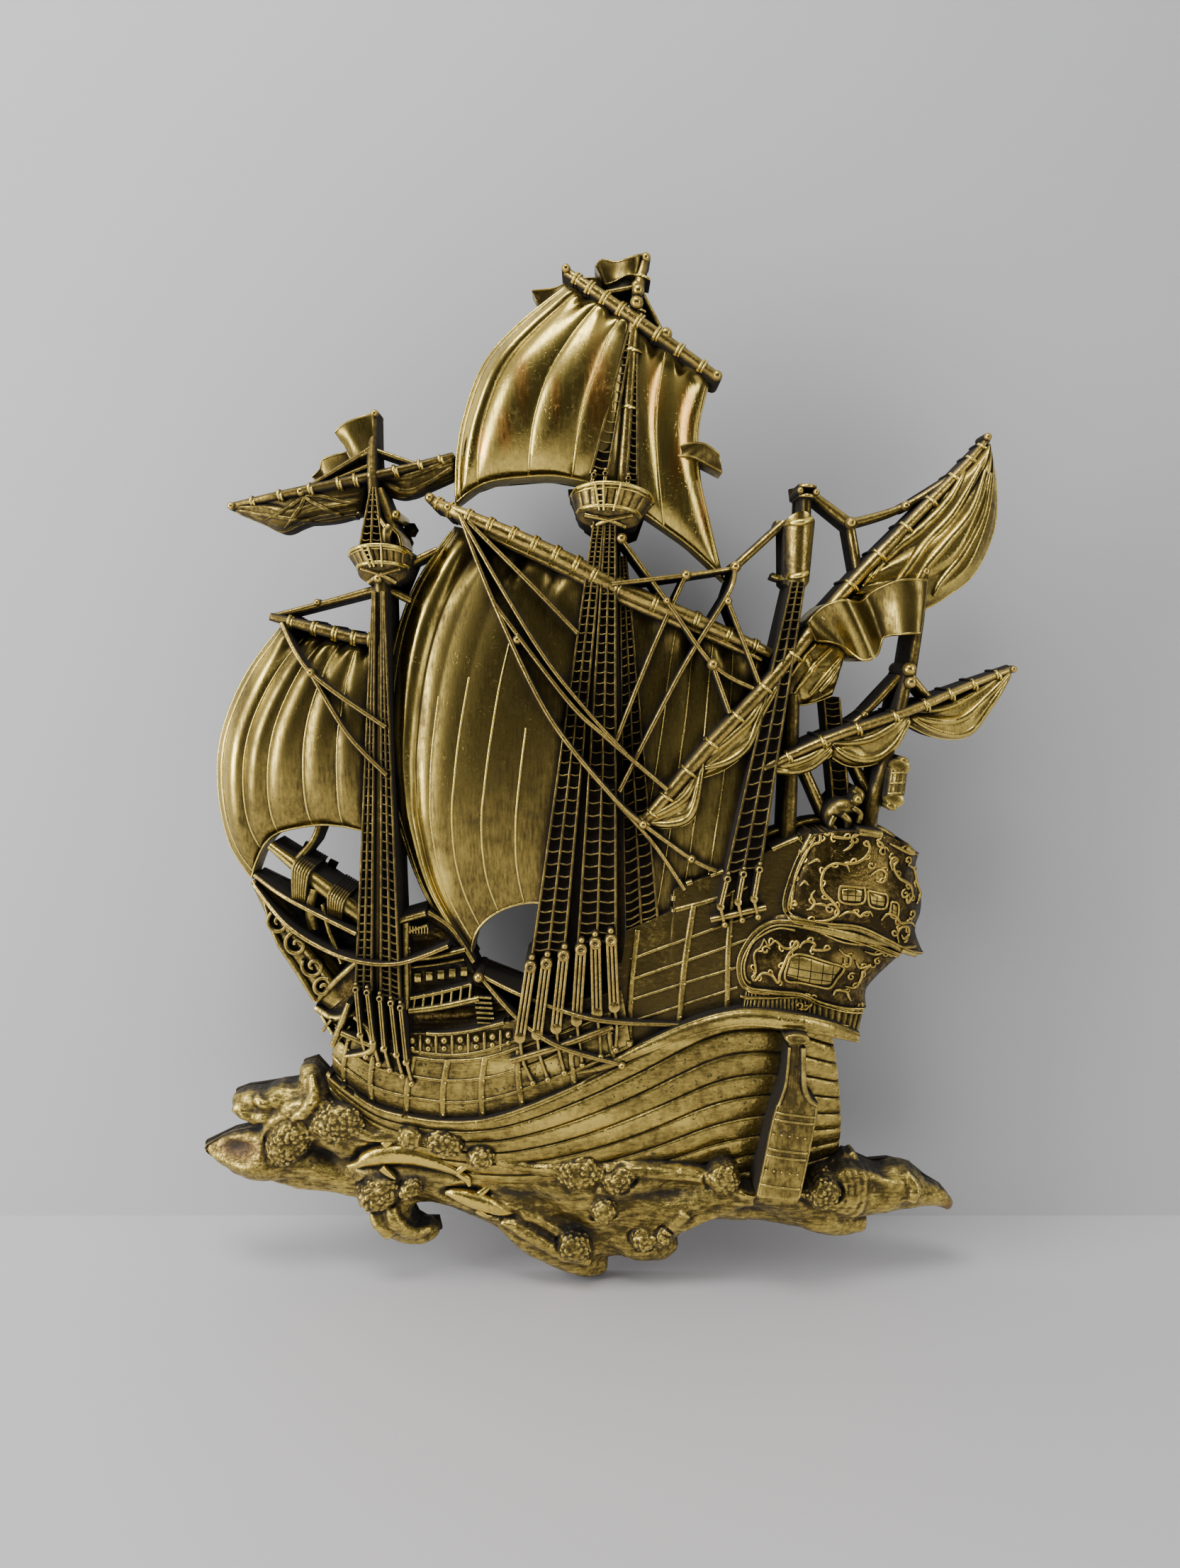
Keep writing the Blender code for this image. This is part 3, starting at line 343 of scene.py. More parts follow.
def antiqueGold(name, **changes):
    look = {**goldLook, **changes}
    material = bpy.data.materials.new(name)
    material.use_nodes = True
    tree = material.node_tree
    shader = tree.nodes["Principled BSDF"]
    start = Wire(tree)
    place = start.node("TexCoord", out="Object")
    out = start.node("TexCoord", out="Normal").facing(outward)
    airy = start.node("AmbientOcclusion", {"samples": 6}, {"Distance": look["crevice"] * mm}, "AO")
    bend = start.node("NewGeometry", out="Pointiness").about(look["edges"])
    cloud = place.clouds(26.0, 5.0, 0.65)
    mottle = place.clouds(210.0, 4.0, 0.7)
    dent = place.clouds(330.0, 1.0)
    streak = start.node("Mapping", feeds={"Vector": place, "Scale": look["streak"]}).clouds(620.0, 3.0, 0.7)
    speck = place.clouds(1000.0 / look["speckSize"], 2.0).between(0.60, 0.70)
    speck = speck * place.clouds(70.0, 2.0).between(0.42, 0.62) * look["specks"]
    washed = (1 - out.between(*look["facing"])) + (1 - airy.between(0.2, 0.8)) * look["wash"]
    recess = (washed + cloud.about(0.4) + mottle.about(0.5) + speck - bend).clamped()
    film = (cloud.about(look["cloud"]) + mottle.about(look["mottle"]) + streak.about(look["brush"])
            + look["patina"] + (1 - airy) * 0.5 - bend * 1.5).clamped()
    # painted shade: these dark spots add dark wash in hollows and valleys, so they paint their shade too
    if "sunk" in look:
        recess = (recess + spots(place, cloud, look["sunk"]) * 0.7).clamped()
    # rubbed spots: film and dark wash come off there, as wear that is also placed to paint highlights where
    # the light falls
    if "rubbed" in look:
        rubbed = spots(place, cloud, look["rubbed"])
        recess = (recess - rubbed * 0.5).clamped()
        film = (film - rubbed * 0.75).clamped()
    colour = film.blend(look["gold"], look["olive"])
    if "warm" in look:
        colour = spots(place, cloud, look["warm"]).blend(colour, look["copper"])
    recess.blend(colour, look["dark"]).into(shader, "Base Color")
    rough = film * (look["roughPatina"] - look["roughGold"]) + look["roughGold"]
    (rough + recess * 0.4 + streak.about(0.2)).clamped().into(shader, "Roughness")
    (1 - recess * 1.1).clamped().into(shader, "Metallic")
    height = streak * look["streakRise"] + dent * look["dents"] - speck * 0.5
    bumped = start.node("Bump", feeds={"Strength": 0.7, "Distance": 0.8 * mm, "Height": height})
    bumped.into(shader, "Normal")
    return material


def spots(place, cloud, places):  # soft-edged spots, each (x, z, half width, half height)
    total = None
    for x, z, wide, high in places:
        feeds = {"Vector": place, "Location": (-x / wide, 0, -z / high),
                 "Scale": (1000 / wide, 0, 1000 / high)}
        moved = place.node("Mapping", {"vector_type": "POINT"}, feeds)
        reach = place.node("VectorMath", {"operation": "LENGTH"}, {0: moved}, "Value")
        spot = 1 - (reach + cloud.about(1.2)).between(0.2, 1.3)
        total = total.either(spot) if total else spot
    return total * 0.85


print("shared tools ready")


# Camera, lights and stage

studio = {
    "camera": (-0.01638, -0.754, -0.10917),
    "tilt": 84.0,
    "lens": 26.04,
    "floor": -0.5305,
    "wall": 0.079,
    "middle": (-0.01, 0, -0.2),  # where the lights aim
    # place, width and height, power
    "lights": {
        "ceiling": ((-0.35, -0.75, 1.25), (0.9, 0.5), 13),
        "window": ((-1.35, -0.75, 0.25), (0.45, 1.2), 12),
        "fill": ((1.2, -1.0, 0.1), (0.3, 1.0), 1.5),
        "glint_left": ((-1.4, -0.75, -0.35), (0.5, 1.0), 8),
        "glint_right": ((1.3, -0.9, 0.2), (0.4, 1.0), 3),
    },
    "floorPale": (0.76, 0.74, 0.75, 1),
    "wallPale": (0.74, 0.745, 0.76, 1),
    "skyLow": (0.07, 0.07, 0.07, 1),
    "skyHigh": (1.0, 1.0, 1.0, 1),
    "skyPower": 0.72,
}


def makeCamera():
    camera = placed("camera", bpy.data.cameras.new("camera"))
    camera.data.sensor_fit = "VERTICAL"
    camera.data.sensor_height = 36
    camera.data.lens = studio["lens"]
    camera.location = studio["camera"]
    camera.rotation_euler = (math.radians(studio["tilt"]), 0, 0)
    bpy.context.scene.camera = camera


def plainSheet(name, wide, high, place, upright, material):
    form = bmesh.new()
    bmesh.ops.create_grid(form, x_segments=1, y_segments=1, size=0.5)
    for vert in form.verts:
        x, y = vert.co.x * wide, vert.co.y * high
        vert.co = (x, 0, y) if upright else (x, y, 0)
        vert.co += Vector(place)
    mesh = meshFrom(name, form)
    mesh.materials.append(material)
    placed(name, mesh)


def paleMaterial(name, colour, seeThrough):
    material = bpy.data.materials.new(name)
    material.use_nodes = True
    tree = material.node_tree
    shader = tree.nodes["Principled BSDF"]
    shader.inputs["Roughness"].default_value = 0.7
    start = Wire(tree)
    mottle = start.node("TexCoord", out="Object").clouds(6.0, 2.0)
    mottle.blend(tuple(c * 0.97 for c in colour[:3]) + (1,), colour).into(shader, "Base Color")
    if seeThrough:  # the back of the backdrop and its shadow rays let the plaque be seen from behind
        behind = start.node("NewGeometry", out="Backfacing")
        shadow = start.node("LightPath", out="Is Shadow Ray")
        clear = start.node("BsdfTransparent")
        solid = Wire(tree, shader.outputs[0])
        mixed = start.node("MixShader", feeds={0: behind.either(shadow), 1: solid, 2: clear})
        mixed.into(tree.nodes["Material Output"], "Surface")
    return material


def areaLight(name, place, extent, power):
    light = bpy.data.lights.new(name, "AREA")
    light.energy = power
    light.shape = "RECTANGLE"
    light.size, light.size_y = extent
    lamp = placed(name, light)
    lamp.location = place
    lamp.rotation_euler = (Vector(studio["middle"]) - Vector(place)).to_track_quat("-Z", "Y").to_euler()
    if name.startswith("glint"):  # seen by the shine of the metal only
        lamp.visible_diffuse = False


def makeSky():  # bright above and to the left, dark behind the camera
    world = bpy.data.worlds.new("studio")
    world.use_nodes = True
    tree = world.node_tree
    way = Wire(tree).node("TexCoord", out="Generated")
    ahead = way.facing(outward).either(0.0)
    high = way.node("SeparateXYZ", feeds={0: way}, out="Z")
    lit = high.between(0.1, 0.8).either(way.facing((-1, 0, 0)).between(0.3, 0.9) * 1.15)
    share = (lit * (1 - ahead ** 3.0)).clamped()
    share.blend(studio["skyLow"], studio["skyHigh"]).into(tree.nodes["Background"], "Color")
    tree.nodes["Background"].inputs["Strength"].default_value = studio["skyPower"]
    bpy.context.scene.world = world


def makeStudio():
    makeCamera()
    wide, deep, high = 4.0, 2.4, 2.2
    plainSheet("floor", wide, deep, (0, studio["wall"] - deep / 2, studio["floor"]), False,
               paleMaterial("pale_floor", studio["floorPale"], False))
    plainSheet("backdrop", deep, high, (0, studio["wall"], studio["floor"] + high / 2), True,
               paleMaterial("pale_backdrop", studio["wallPale"], True))
    for name, (place, extent, power) in studio["lights"].items():
        areaLight(name, place, extent, power)
    makeSky()


makeStudio()
print("studio ready")


# Finishes

# sails and flags: fine upright brushing on smooth patina
canvasBrush = {"specks": 0.15, "facing": (-0.1, 0.18), "roughGold": 0.15, "crevice": 7.0, "mottle": 0.4,
               "streak": (1.0, 1.0, 0.12), "streakRise": 0.08, "dents": 0.06, "roughPatina": 0.34}
rubbedGold = antiqueGold("rubbed_gold", gold=(0.95, 0.74, 0.19, 1), patina=0.05, specks=0.2, crevice=2.0,
                         facing=(0.0, 0.6), roughGold=0.26, wash=0.6)
# painted highlights: the rubbed spots run down the leeches of the mainsail and the foresail and paint the
# bright band of light from the left
sailGold = antiqueGold("sail_gold", patina=0.80, cloud=0.7, **canvasBrush, rubbed=[
    (-108, -48, 10, 30), (-125, -95, 10, 36), (-133, -150, 10, 42), (-128, -205, 10, 36),
    (-114, -256, 10, 30), (-250, -178, 9, 50), (-224, -120, 9, 30)])
# painted highlights: the rubbed spots lighten the topsail's left edge and its right part; the warm spots are
# its copper-coloured wear
topsailGold = antiqueGold("topsail_gold", patina=0.34, cloud=0.8, **canvasBrush,
                          rubbed=[(-90, 50, 6, 50), (-60, 98, 8, 20), (36, 32, 20, 48)],
                          warm=[(-58, 61, 5, 22), (-37, 53, 4, 16), (-12, 62, 9, 32), (-84, 28, 5, 12),
                                (-69, 36, 6, 14), (24, 56, 6, 26), (43, 44, 6, 22), (38, 18, 7, 22),
                                (56, -8, 5, 20)])
canvasGold = antiqueGold("canvas_gold", patina=0.50, specks=0.12, facing=(0.0, 0.4), roughGold=0.16,
                         crevice=4.5, dents=0.15, wash=1.4, mottle=0.8)
quarterGold = antiqueGold("quarter_gold", patina=1.1, specks=0.8, speckSize=2.4, streak=(0.2, 1.0, 1.0),
                          copper=(0.30, 0.16, 0.05, 1), warm=[(22, -352, 26, 4)])
rudderGold = antiqueGold("rudder_gold", patina=0.84, specks=0.8, speckSize=2.4, streak=(1.0, 1.0, 0.2))
# the rubbed spots are wear that also paints highlights along the wales and in the middle of the hull
hullGold = antiqueGold("hull_gold", patina=0.64, specks=0.9, speckSize=2.2, streak=(0.15, 1.0, 1.0),
                       streakRise=0.35, crevice=7.0, rubbed=[
                           (-60, -366, 30, 6), (20, -352, 40, 5), (90, -335, 36, 5), (-20, -405, 70, 12)])
dolphinGold = antiqueGold("dolphin_gold", gold=(0.88, 0.65, 0.15, 1), patina=0.14, specks=0.2,
                          facing=(-0.1, 0.4), roughGold=0.20, crevice=6.0)
# painted shade: the dark spots listed last add dark wash in the sea's hollows and valleys and paint their
# shade; the strong edges setting darkens the creases and lightens the crests, as wear and as painted shade
# and highlight; the warm spots lay dark brown into the shell hollow at the left and at the right end
seaGold = antiqueGold("sea_gold", patina=0.74, specks=0.5, speckSize=1.8, streak=(0.12, 1.0, 0.8), brush=1.8,
                      streakRise=0.8, facing=(0.0, 0.8), dents=0.8, wash=2.0, edges=8.0,
                      copper=(0.17, 0.095, 0.04, 1), warm=[(-254, -433, 21, 9), (230, -478, 10, 6)],
                      sunk=[(-194, -437, 22, 8), (-146, -446, 32, 4), (-140, -422, 26, 3),
                            (-92, -478, 18, 3), (-256, -432, 12, 6), (-60, -459, 30, 5), (24, -458, 30, 5),
                            (90, -470, 24, 5), (-28, -486, 18, 5), (-100, -476, 26, 4)])
ropeGold = antiqueGold("rope_gold", gold=(0.74, 0.53, 0.135, 1), patina=0.62, specks=0.3,
                       facing=(0.3, 0.95), crevice=5.0, edges=5.0)
netGold = antiqueGold("net_gold", gold=(0.58, 0.41, 0.10, 1), patina=1.0, specks=0.3, facing=(0.4, 1.0),
                      crevice=5.0, edges=3.0)
carvedGold = antiqueGold("carved_gold", patina=0.78, specks=0.4, facing=(0.2, 0.9), crevice=5.0, edges=5.0)
scrollGold = antiqueGold("scroll_gold", gold=(0.84, 0.60, 0.13, 1), patina=0.56, specks=0.2,
                         facing=(0.1, 0.8), crevice=3.0, edges=5.0, roughGold=0.22)
# the rubbed spots on the bulges of the galleries show the gold rubbed bare and also paint the bright column
# of their highlight
recessDark = antiqueGold("recess_dark", gold=(0.54, 0.38, 0.10, 1), olive=(0.048, 0.033, 0.012, 1),
                         patina=0.95, specks=0.6, facing=(0.2, 0.9), roughGold=0.16, crevice=6.0, wash=1.8,
                         roughPatina=0.32, rubbed=[
                             (158, -238, 13, 15), (166, -254, 6, 7), (145, -249, 6, 5), (148, -296, 12, 7)])
webDark = antiqueGold("web_dark", gold=(0.05, 0.034, 0.012, 1), olive=(0.010, 0.007, 0.004, 1), patina=0.85,
                      specks=0.5, facing=(0.4, 1.1), roughGold=0.5, roughPatina=0.7)


# Flat back of the whole casting

def makeBack():  # the solid, cut off a little above the wall side
    thick = 4 * mm
    back = Relief("plaque_back")
    form = back.bm
    form.from_mesh(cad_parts["ship_plaque"].data)
    bmesh.ops.remove_doubles(form, verts=form.verts, dist=0.01 * mm)
    cut = bmesh.ops.bisect_plane(form, geom=form.verts[:] + form.edges[:] + form.faces[:], dist=0.0001 * mm,
                                 plane_co=(0, -thick, 0), plane_no=outward, clear_outer=True)
    rim = [edge for edge in cut["geom_cut"] if isinstance(edge, bmesh.types.BMEdge)]
    bmesh.ops.triangle_fill(form, edges=rim, use_beauty=True)
    bmesh.ops.recalc_face_normals(form, faces=form.faces)
    back.done([webDark])


# Sea

sea = {
    "crest": 39,  # depth at the top line, which falls towards the low line
    "crestFall": 22,
    "shore": 15,  # depth at the two ends
    "top": [(-240, -424), (-226, -406), (-205, -394), (-178, -402), (-142, -414), (-97, -420),
            (-60, -430), (-20, -434), (20, -434), (58, -440), (95, -456), (128, -455),
            (154, -441), (180, -450), (206, -459)],
    "low": [(-240, -455), (-218, -463), (-190, -467), (-160, -474), (-124, -474), (-98, -483),
            (-68, -496), (-42, -511), (-6, -512), (34, -504), (54, -486), (92, -485),
            (130, -491), (166, -482), (206, -478)],
    "arms": [
        [(-281, -437, 12, 3), (-269, -438, 20, 17), (-255, -438, 27, 30), (-237, -439, 31, 36),
         (-214, -438, 24, 36)],
        [(-259, -402, 15, 8), (-248, -403, 22, 18), (-234, -404, 27, 22), (-220, -402, 29, 28),
         (-202, -406, 24, 28)],
        [(-207, -376, 17, 10), (-204, -385, 25, 18), (-200, -396, 30, 26), (-194, -412, 26, 34)],
        [(232, -480, 12, 7), (221, -471, 18, 14), (208, -467, 23, 20), (195, -461, 27, 30),
         (180, -464, 30, 30), (160, -463, 33, 38), (138, -464, 28, 36)],
        [(174, -490, 14, 12), (160, -489, 20, 18), (140, -482, 27, 24), (114, -470, 24, 20)],
        [(-120, -494, 15, 9), (-132, -496, 21, 14), (-143, -491, 26, 20), (-151, -480, 29, 28),
         (-150, -462, 24, 32)],
        [(-4, -519, 15, 14), (-18, -517, 22, 22), (-38, -505, 28, 27), (-58, -492, 30, 26),
         (-80, -476, 24, 16)],
        [(44, -503, 15, 14), (30, -504, 23, 23), (12, -497, 29, 28), (-10, -478, 24, 26)],
    ],
    # soft bumps and hollows: x, z, along, across, turn in degrees, rise
    "lumps": [(-196, -438, 24, 8, -30, -9), (-258, -433, 12, 6, -5, -5), (-182, -424, 14, 6, -30, -4),
              (-160, -452, 40, 7, -8, 3), (-95, -470, 30, 7, -25, 3), (-60, -448, 34, 8, -10, -5),
              (-30, -462, 26, 8, -20, 3), (-40, -480, 26, 8, -40, -5), (10, -452, 22, 8, 10, 4),
              (40, -452, 18, 7, 0, -4), (30, -478, 24, 9, 30, 3), (2, -486, 20, 9, 20, -4),
              (66, -462, 22, 7, 15, 4), (100, -470, 16, 8, -20, -3), (88, -480, 14, 5, 10, 2),
              (120, -474, 20, 7, -15, 3), (-125, -446, 34, 5, -12, 2), (-20, -500, 14, 7, -30, 3),
              (22, -497, 12, 7, 20, 3)],
    # ridges that ring the curl by the rudder and the crests of the arms: x, z, width
    "ridges": [
        [(196, -448, 4), (202, -458, 7), (199, -468, 5)],
        [(-202, -380, 4), (-199, -392, 7), (-204, -402, 8), (-214, -408, 5)],
        [(-190, -384, 4), (-184, -396, 7), (-178, -406, 8)],
        [(-240, -396, 5), (-232, -404, 8), (-240, -411, 6)],
        [(-256, -404, 7), (-248, -408, 8), (-238, -414, 5)],
        [(-150, -470, 7), (-146, -482, 9), (-136, -491, 7), (-124, -491, 4)],
        [(-160, -462, 6), (-160, -478, 8), (-150, -492, 7)],
        [(-75, -478, 8), (-52, -492, 8), (-34, -504, 8), (-16, -512, 6)],
        [(-84, -464, 6), (-56, -476, 7), (-30, -494, 6)],
        [(48, -470, 6), (36, -484, 8), (28, -498, 8)],
        [(92, -462, 6), (72, -468, 7), (52, -478, 7), (34, -488, 5)],
        [(-178, -412, 4), (-150, -420, 6), (-120, -428, 5)],
        [(-62, -436, 5), (-30, -440, 7), (0, -446, 7)],
    ],
    # rounded upper lip that laps over the planks
    "lip": [(-184, -399, 6), (-172, -404, 9), (-156, -410, 10), (-140, -417, 10), (-120, -423, 9),
            (-97, -427, 9), (-75, -433, 9), (-60, -437, 9), (-40, -440, 10), (-20, -440, 10), (0, -441, 10),
            (20, -440, 9), (40, -443, 9), (58, -446, 8), (74, -451, 8), (92, -460, 6)],
    # heads of foam: x, z, depth, radius, stretch, turn in degrees
    "foam": [(-217, -426, 33, 13, 1.3, 60), (-181, -408, 36, 13, 1.5, 12), (-133, -414, 51, 8.5, 1.0, 0),
             (-111, -418, 51, 9.5, 1.4, -15), (-88, -428, 51, 9, 1.0, 0), (-24, -441, 43, 12, 1.3, 0),
             (2, -447, 42, 8, 1.3, 20), (-7, -468, 42, 9, 1.0, 0), (72, -445, 43, 11, 1.0, 0),
             (138, -456, 42, 10, 1.2, 50), (-157, -459, 36, 11, 1.5, 35), (-136, -455, 37, 6, 1.6, 40),
             (-26, -497, 34, 10, 1.2, -30), (20, -492, 33, 8, 1.2, 20), (33, -490, 31, 7, 0.8, 0)],
    # fine arcs of water that turn by the rudder, the outer ones shorter
    "swirl": {"middle": (133, -456), "radii": (11, 15.5, 20, 24.5, 29, 34), "sweep": (-62, 52)},
    # hollows: x, z, along, across, turn in degrees, fall
    "hollows": [(-254, -433, 20, 8, 10, 9), (-196, -438, 22, 7, -32, 7), (-62, -460, 26, 5, -14, 4),
                (-26, -484, 18, 5, -40, 4), (26, -460, 26, 5, 6, 4), (92, -472, 18, 5, -16, 4),
                (176, -458, 8, 8, 0, 3), (-112, -478, 18, 4, -20, 3), (-232, -405, 10, 4, 0, 5)],
    "moat": (3.4, 4.6),  # how wide and how deep the ground falls round the dolphins and the foam
    "coreVoxel": 1.6,
    "voxel": 1.45,
    "ridgeLift": 4.4,
    "bubble": 3.3,  # size and rise of the foam's bubbles
    "bubbleRise": 1.5,
    "back": 0.7,  # the water's flat back stays this far in front of the wall side
    "dolphins": [
        {"line": [(-177, -440, 42, 2), (-170, -438, 44, 5), (-163, -434, 46, 11), (-150, -431, 47, 15),
                  (-136, -431, 47, 15), (-120, -435, 47, 11), (-108, -440, 46, 5), (-102, -443, 46, 3.4)],
         "fins": [[(-152, -424, 46, 7), (-145, -417, 46, 5), (-142, -411, 45, 1.4)],
                  [(-154, -439, 47, 5), (-149, -444, 46, 3.4), (-145, -447, 45, 1)],
                  [(-104, -443, 46, 4), (-98, -447, 46, 5), (-96, -452, 45, 2)],
                  [(-104, -442, 46, 4), (-99, -438, 46, 5), (-98, -433, 45, 2)]],
         "eye": (-167, -435), "rise": 7.0},
        {"line": [(-113, -460, 38, 3), (-107, -460, 41, 8), (-96, -463, 43, 12), (-84, -468, 42, 12),
                  (-74, -473, 39, 7), (-66, -474, 36, 2)],
         "fins": [[(-90, -460, 41, 5), (-85, -456, 40, 4), (-83, -453, 38, 1)],
                  [(-92, -471, 41, 4), (-86, -475, 40, 3), (-82, -476, 38, 1)]],
         "eye": (-106, -460), "rise": 5.0},
    ],
}


def bowl(a, b, reach, across, turn):  # soft round hollow or lump, one in its middle
    ahead, aside = turned(a, b, turn)
    return math.exp(-(ahead / reach) ** 2 - (aside / across) ** 2)


def makeRolls():  # the broad rolls of the water and its arms
    body = Relief("sea_core")
    outline = patch(sea["top"], sea["low"])

    def front(u, v):
        x, z = outline(u, v)
        ends = swell(u, 0.35)
        crest = sea["crest"] - sea["crestFall"] * v ** 2.2
        depth = sea["shore"] + (crest - sea["shore"]) * ends
        for cx, cz, reach, across, turn, rise in sea["lumps"]:
            depth += rise * ends * bowl(x - cx, z - cz, reach, across, turn)
        return x, z, depth
    body.sheet(240, 50, front, root=0.0)
    for points in sea["arms"]:
        body.rib(points, sides=16, flat=0.42, step=2.0)
    return melted(body, sea["coreVoxel"], 6)


def makeCrests(core):  # ridges, arcs, lip and heads of foam on the rolls, in one skin with them
    body = Relief("sea_crests")
    body.take(core)
    over = ["sea_core"]
    for points in sea["ridges"]:
        line = [(x, z, width * 1.15) for x, z, width in points]
        body.rib(line, over=over, lift=sea["ridgeLift"], sides=10, flat=0.42, step=2.0)
    swirlX, swirlZ = sea["swirl"]["middle"]
    radii = sea["swirl"]["radii"]
    for radius in radii:
        reach = 1 - 0.35 * (radius - radii[0]) / (radii[-1] - radii[0])
        line = []
        for degrees, share in zip(shares(6, *sea["swirl"]["sweep"]), shares(6, 0.08, 0.92)):
            angle = math.radians(degrees * reach)
            line.append((swirlX + radius * math.cos(angle), swirlZ + radius * math.sin(angle),
                         3.6 * swell(share, 0.4)))
        body.rib(line, over=over, lift=2.4, flat=0.6, step=1.5)
    body.rib(sea["lip"], over=over, lift=3.6, sides=12, step=2.0)
    for x, z, depth, radius, stretch, turn in sea["foam"]:
        top = max(depthAt(over, x, z, depth - 6) + 6.0, depth + 2.0)
        rings = [(radius, top - 10), (radius * 0.92, top - 4), (radius * 0.6, top - 0.8), (0, top)]
        body.knob(x, z, rings, 18, stretch, math.radians(turn), 5)
    return melted(body, sea["voxel"], 2)


def sinkHollows(core):  # the ground falls round the dolphins and the foam, and in the hollows
    wide, deep = sea["moat"]
    backs = [along(dolphin["line"], t) for dolphin in sea["dolphins"] for t in shares(24)]
    for vert in core.verts:
        if vert.co.y < -12 * mm:
            x, z = vert.co.x / mm, vert.co.z / mm
            gap = min(math.hypot(x - backX, z - backZ) - width / 2 for backX, backZ, depth, width in backs)
            broken = clipped(0.35 + 1.8 * ripple(x, z, 0.07, 4, 0.07))
            ring = 0.6 * broken * hump(foamReach(x, z), 1.12, 0.14)
            down = deep * max(hump(max(gap, 0), 0, wide) if gap < 9 else 0, ring)
            for cx, cz, reach, across, turn, drop in sea["hollows"]:
                down += drop * bowl(x - cx, z - cz, reach, across, turn)
            vert.co.y += min(down, -vert.co.y / mm - 9) * mm


def roughen(core):
    for vert in core.verts:
        if vert.co.y < -6 * mm:
            x, z = vert.co.x / mm, vert.co.z / mm
            rough = noise.fractal(Vector((x * 0.10, 3, z * 0.22)), 0.8, 2.0, 4)
            vert.co += vert.normal * (0.55 * rough + 0.7 * ripple(x, z, 0.05, 9, 0.09)) * mm
        vert.co.y = min(vert.co.y, -sea["back"] * mm)
        vert.co.z = max(vert.co.z, cadBox[0][2] + 0.1 * mm)


def makeSea():
    core = makeRolls()
    grounds["sea_core"] = BVHTree.FromBMesh(core)
    core = makeCrests(core)
    sinkHollows(core)
    roughen(core)
    foamCrust(core)
    grounds["sea"] = BVHTree.FromBMesh(core)
    water = Relief("sea")
    water.take(core)
    for dolphin in sea["dolphins"]:
        level = max(depthAt(["sea"], x, z, 36) for x, z, depth, width in dolphin["line"]) + dolphin["rise"]
        lift = level - max(point[2] for point in dolphin["line"])
        for points in [dolphin["line"]] + dolphin["fins"]:
            raised = [(x, z, depth + lift, width) for x, z, depth, width in points]
            water.rib(raised, sides=14, flat=0.42, step=1.0, finish=1)
        water.ball(*dolphin["eye"], 0.9, level - 1.2, finish=1)
    water.done([seaGold, dolphinGold], 60)


def melted(piece, voxel, passes):  # joins overlapping forms into one soft skin
    holder = placed(piece.name, meshFrom(piece.name, piece.bm))
    remesh = holder.modifiers.new("melt", "REMESH")
    remesh.mode = "VOXEL"
    remesh.voxel_size = voxel * mm
    solid = bpy.data.meshes.new_from_object(holder.evaluated_get(bpy.context.evaluated_depsgraph_get()))
    bpy.data.objects.remove(holder, do_unlink=True)
    form = bmesh.new()
    form.from_mesh(solid)
    bpy.data.meshes.remove(solid)
    for number in range(passes):
        bmesh.ops.smooth_vert(form, verts=form.verts, factor=0.5, use_axis_x=True, use_axis_y=True,
                              use_axis_z=True)
    form.normal_update()
    return form


def foamReach(px, pz):  # under one inside the nearest head of foam
    best = 9.0
    for x, z, depth, radius, stretch, turn in sea["foam"]:
        ahead, aside = turned(px - x, pz - z, turn)
        best = min(best, math.hypot(ahead / stretch, aside) / radius)
    return best + 0.35 * ripple(px, pz, 0.11, 2, 0.11)


def foamShare(place):  # one inside a head of foam, zero outside
    if place.y >= -8 * mm:
        return 0
    return clipped((1.08 - foamReach(place.x / mm, place.z / mm)) * 5)


def foamCrust(form):  # rounds many small bubbles out of the heads of foam
    inside = [face for face in form.faces if foamShare(face.calc_center_median()) > 0]
    edges = list({edge for face in inside for edge in face.edges})
    bmesh.ops.subdivide_edges(form, edges=edges, cuts=1, use_grid_fill=True)
    form.normal_update()
    for vert in form.verts:
        share = foamShare(vert.co)
        if share:
            near = noise.voronoi(vert.co / (sea["bubble"] * mm), distance_metric="DISTANCE", exponent=2.5)[0]
            worn = 0.35 + 0.65 * clipped(0.5 + 1.6 * noise.noise(vert.co / (6 * mm)))
            vert.co += vert.normal * share * worn * (sea["bubbleRise"] * (0.75 - near[0]) * 2 - 0.2) * mm
    form.normal_update()


# Hull

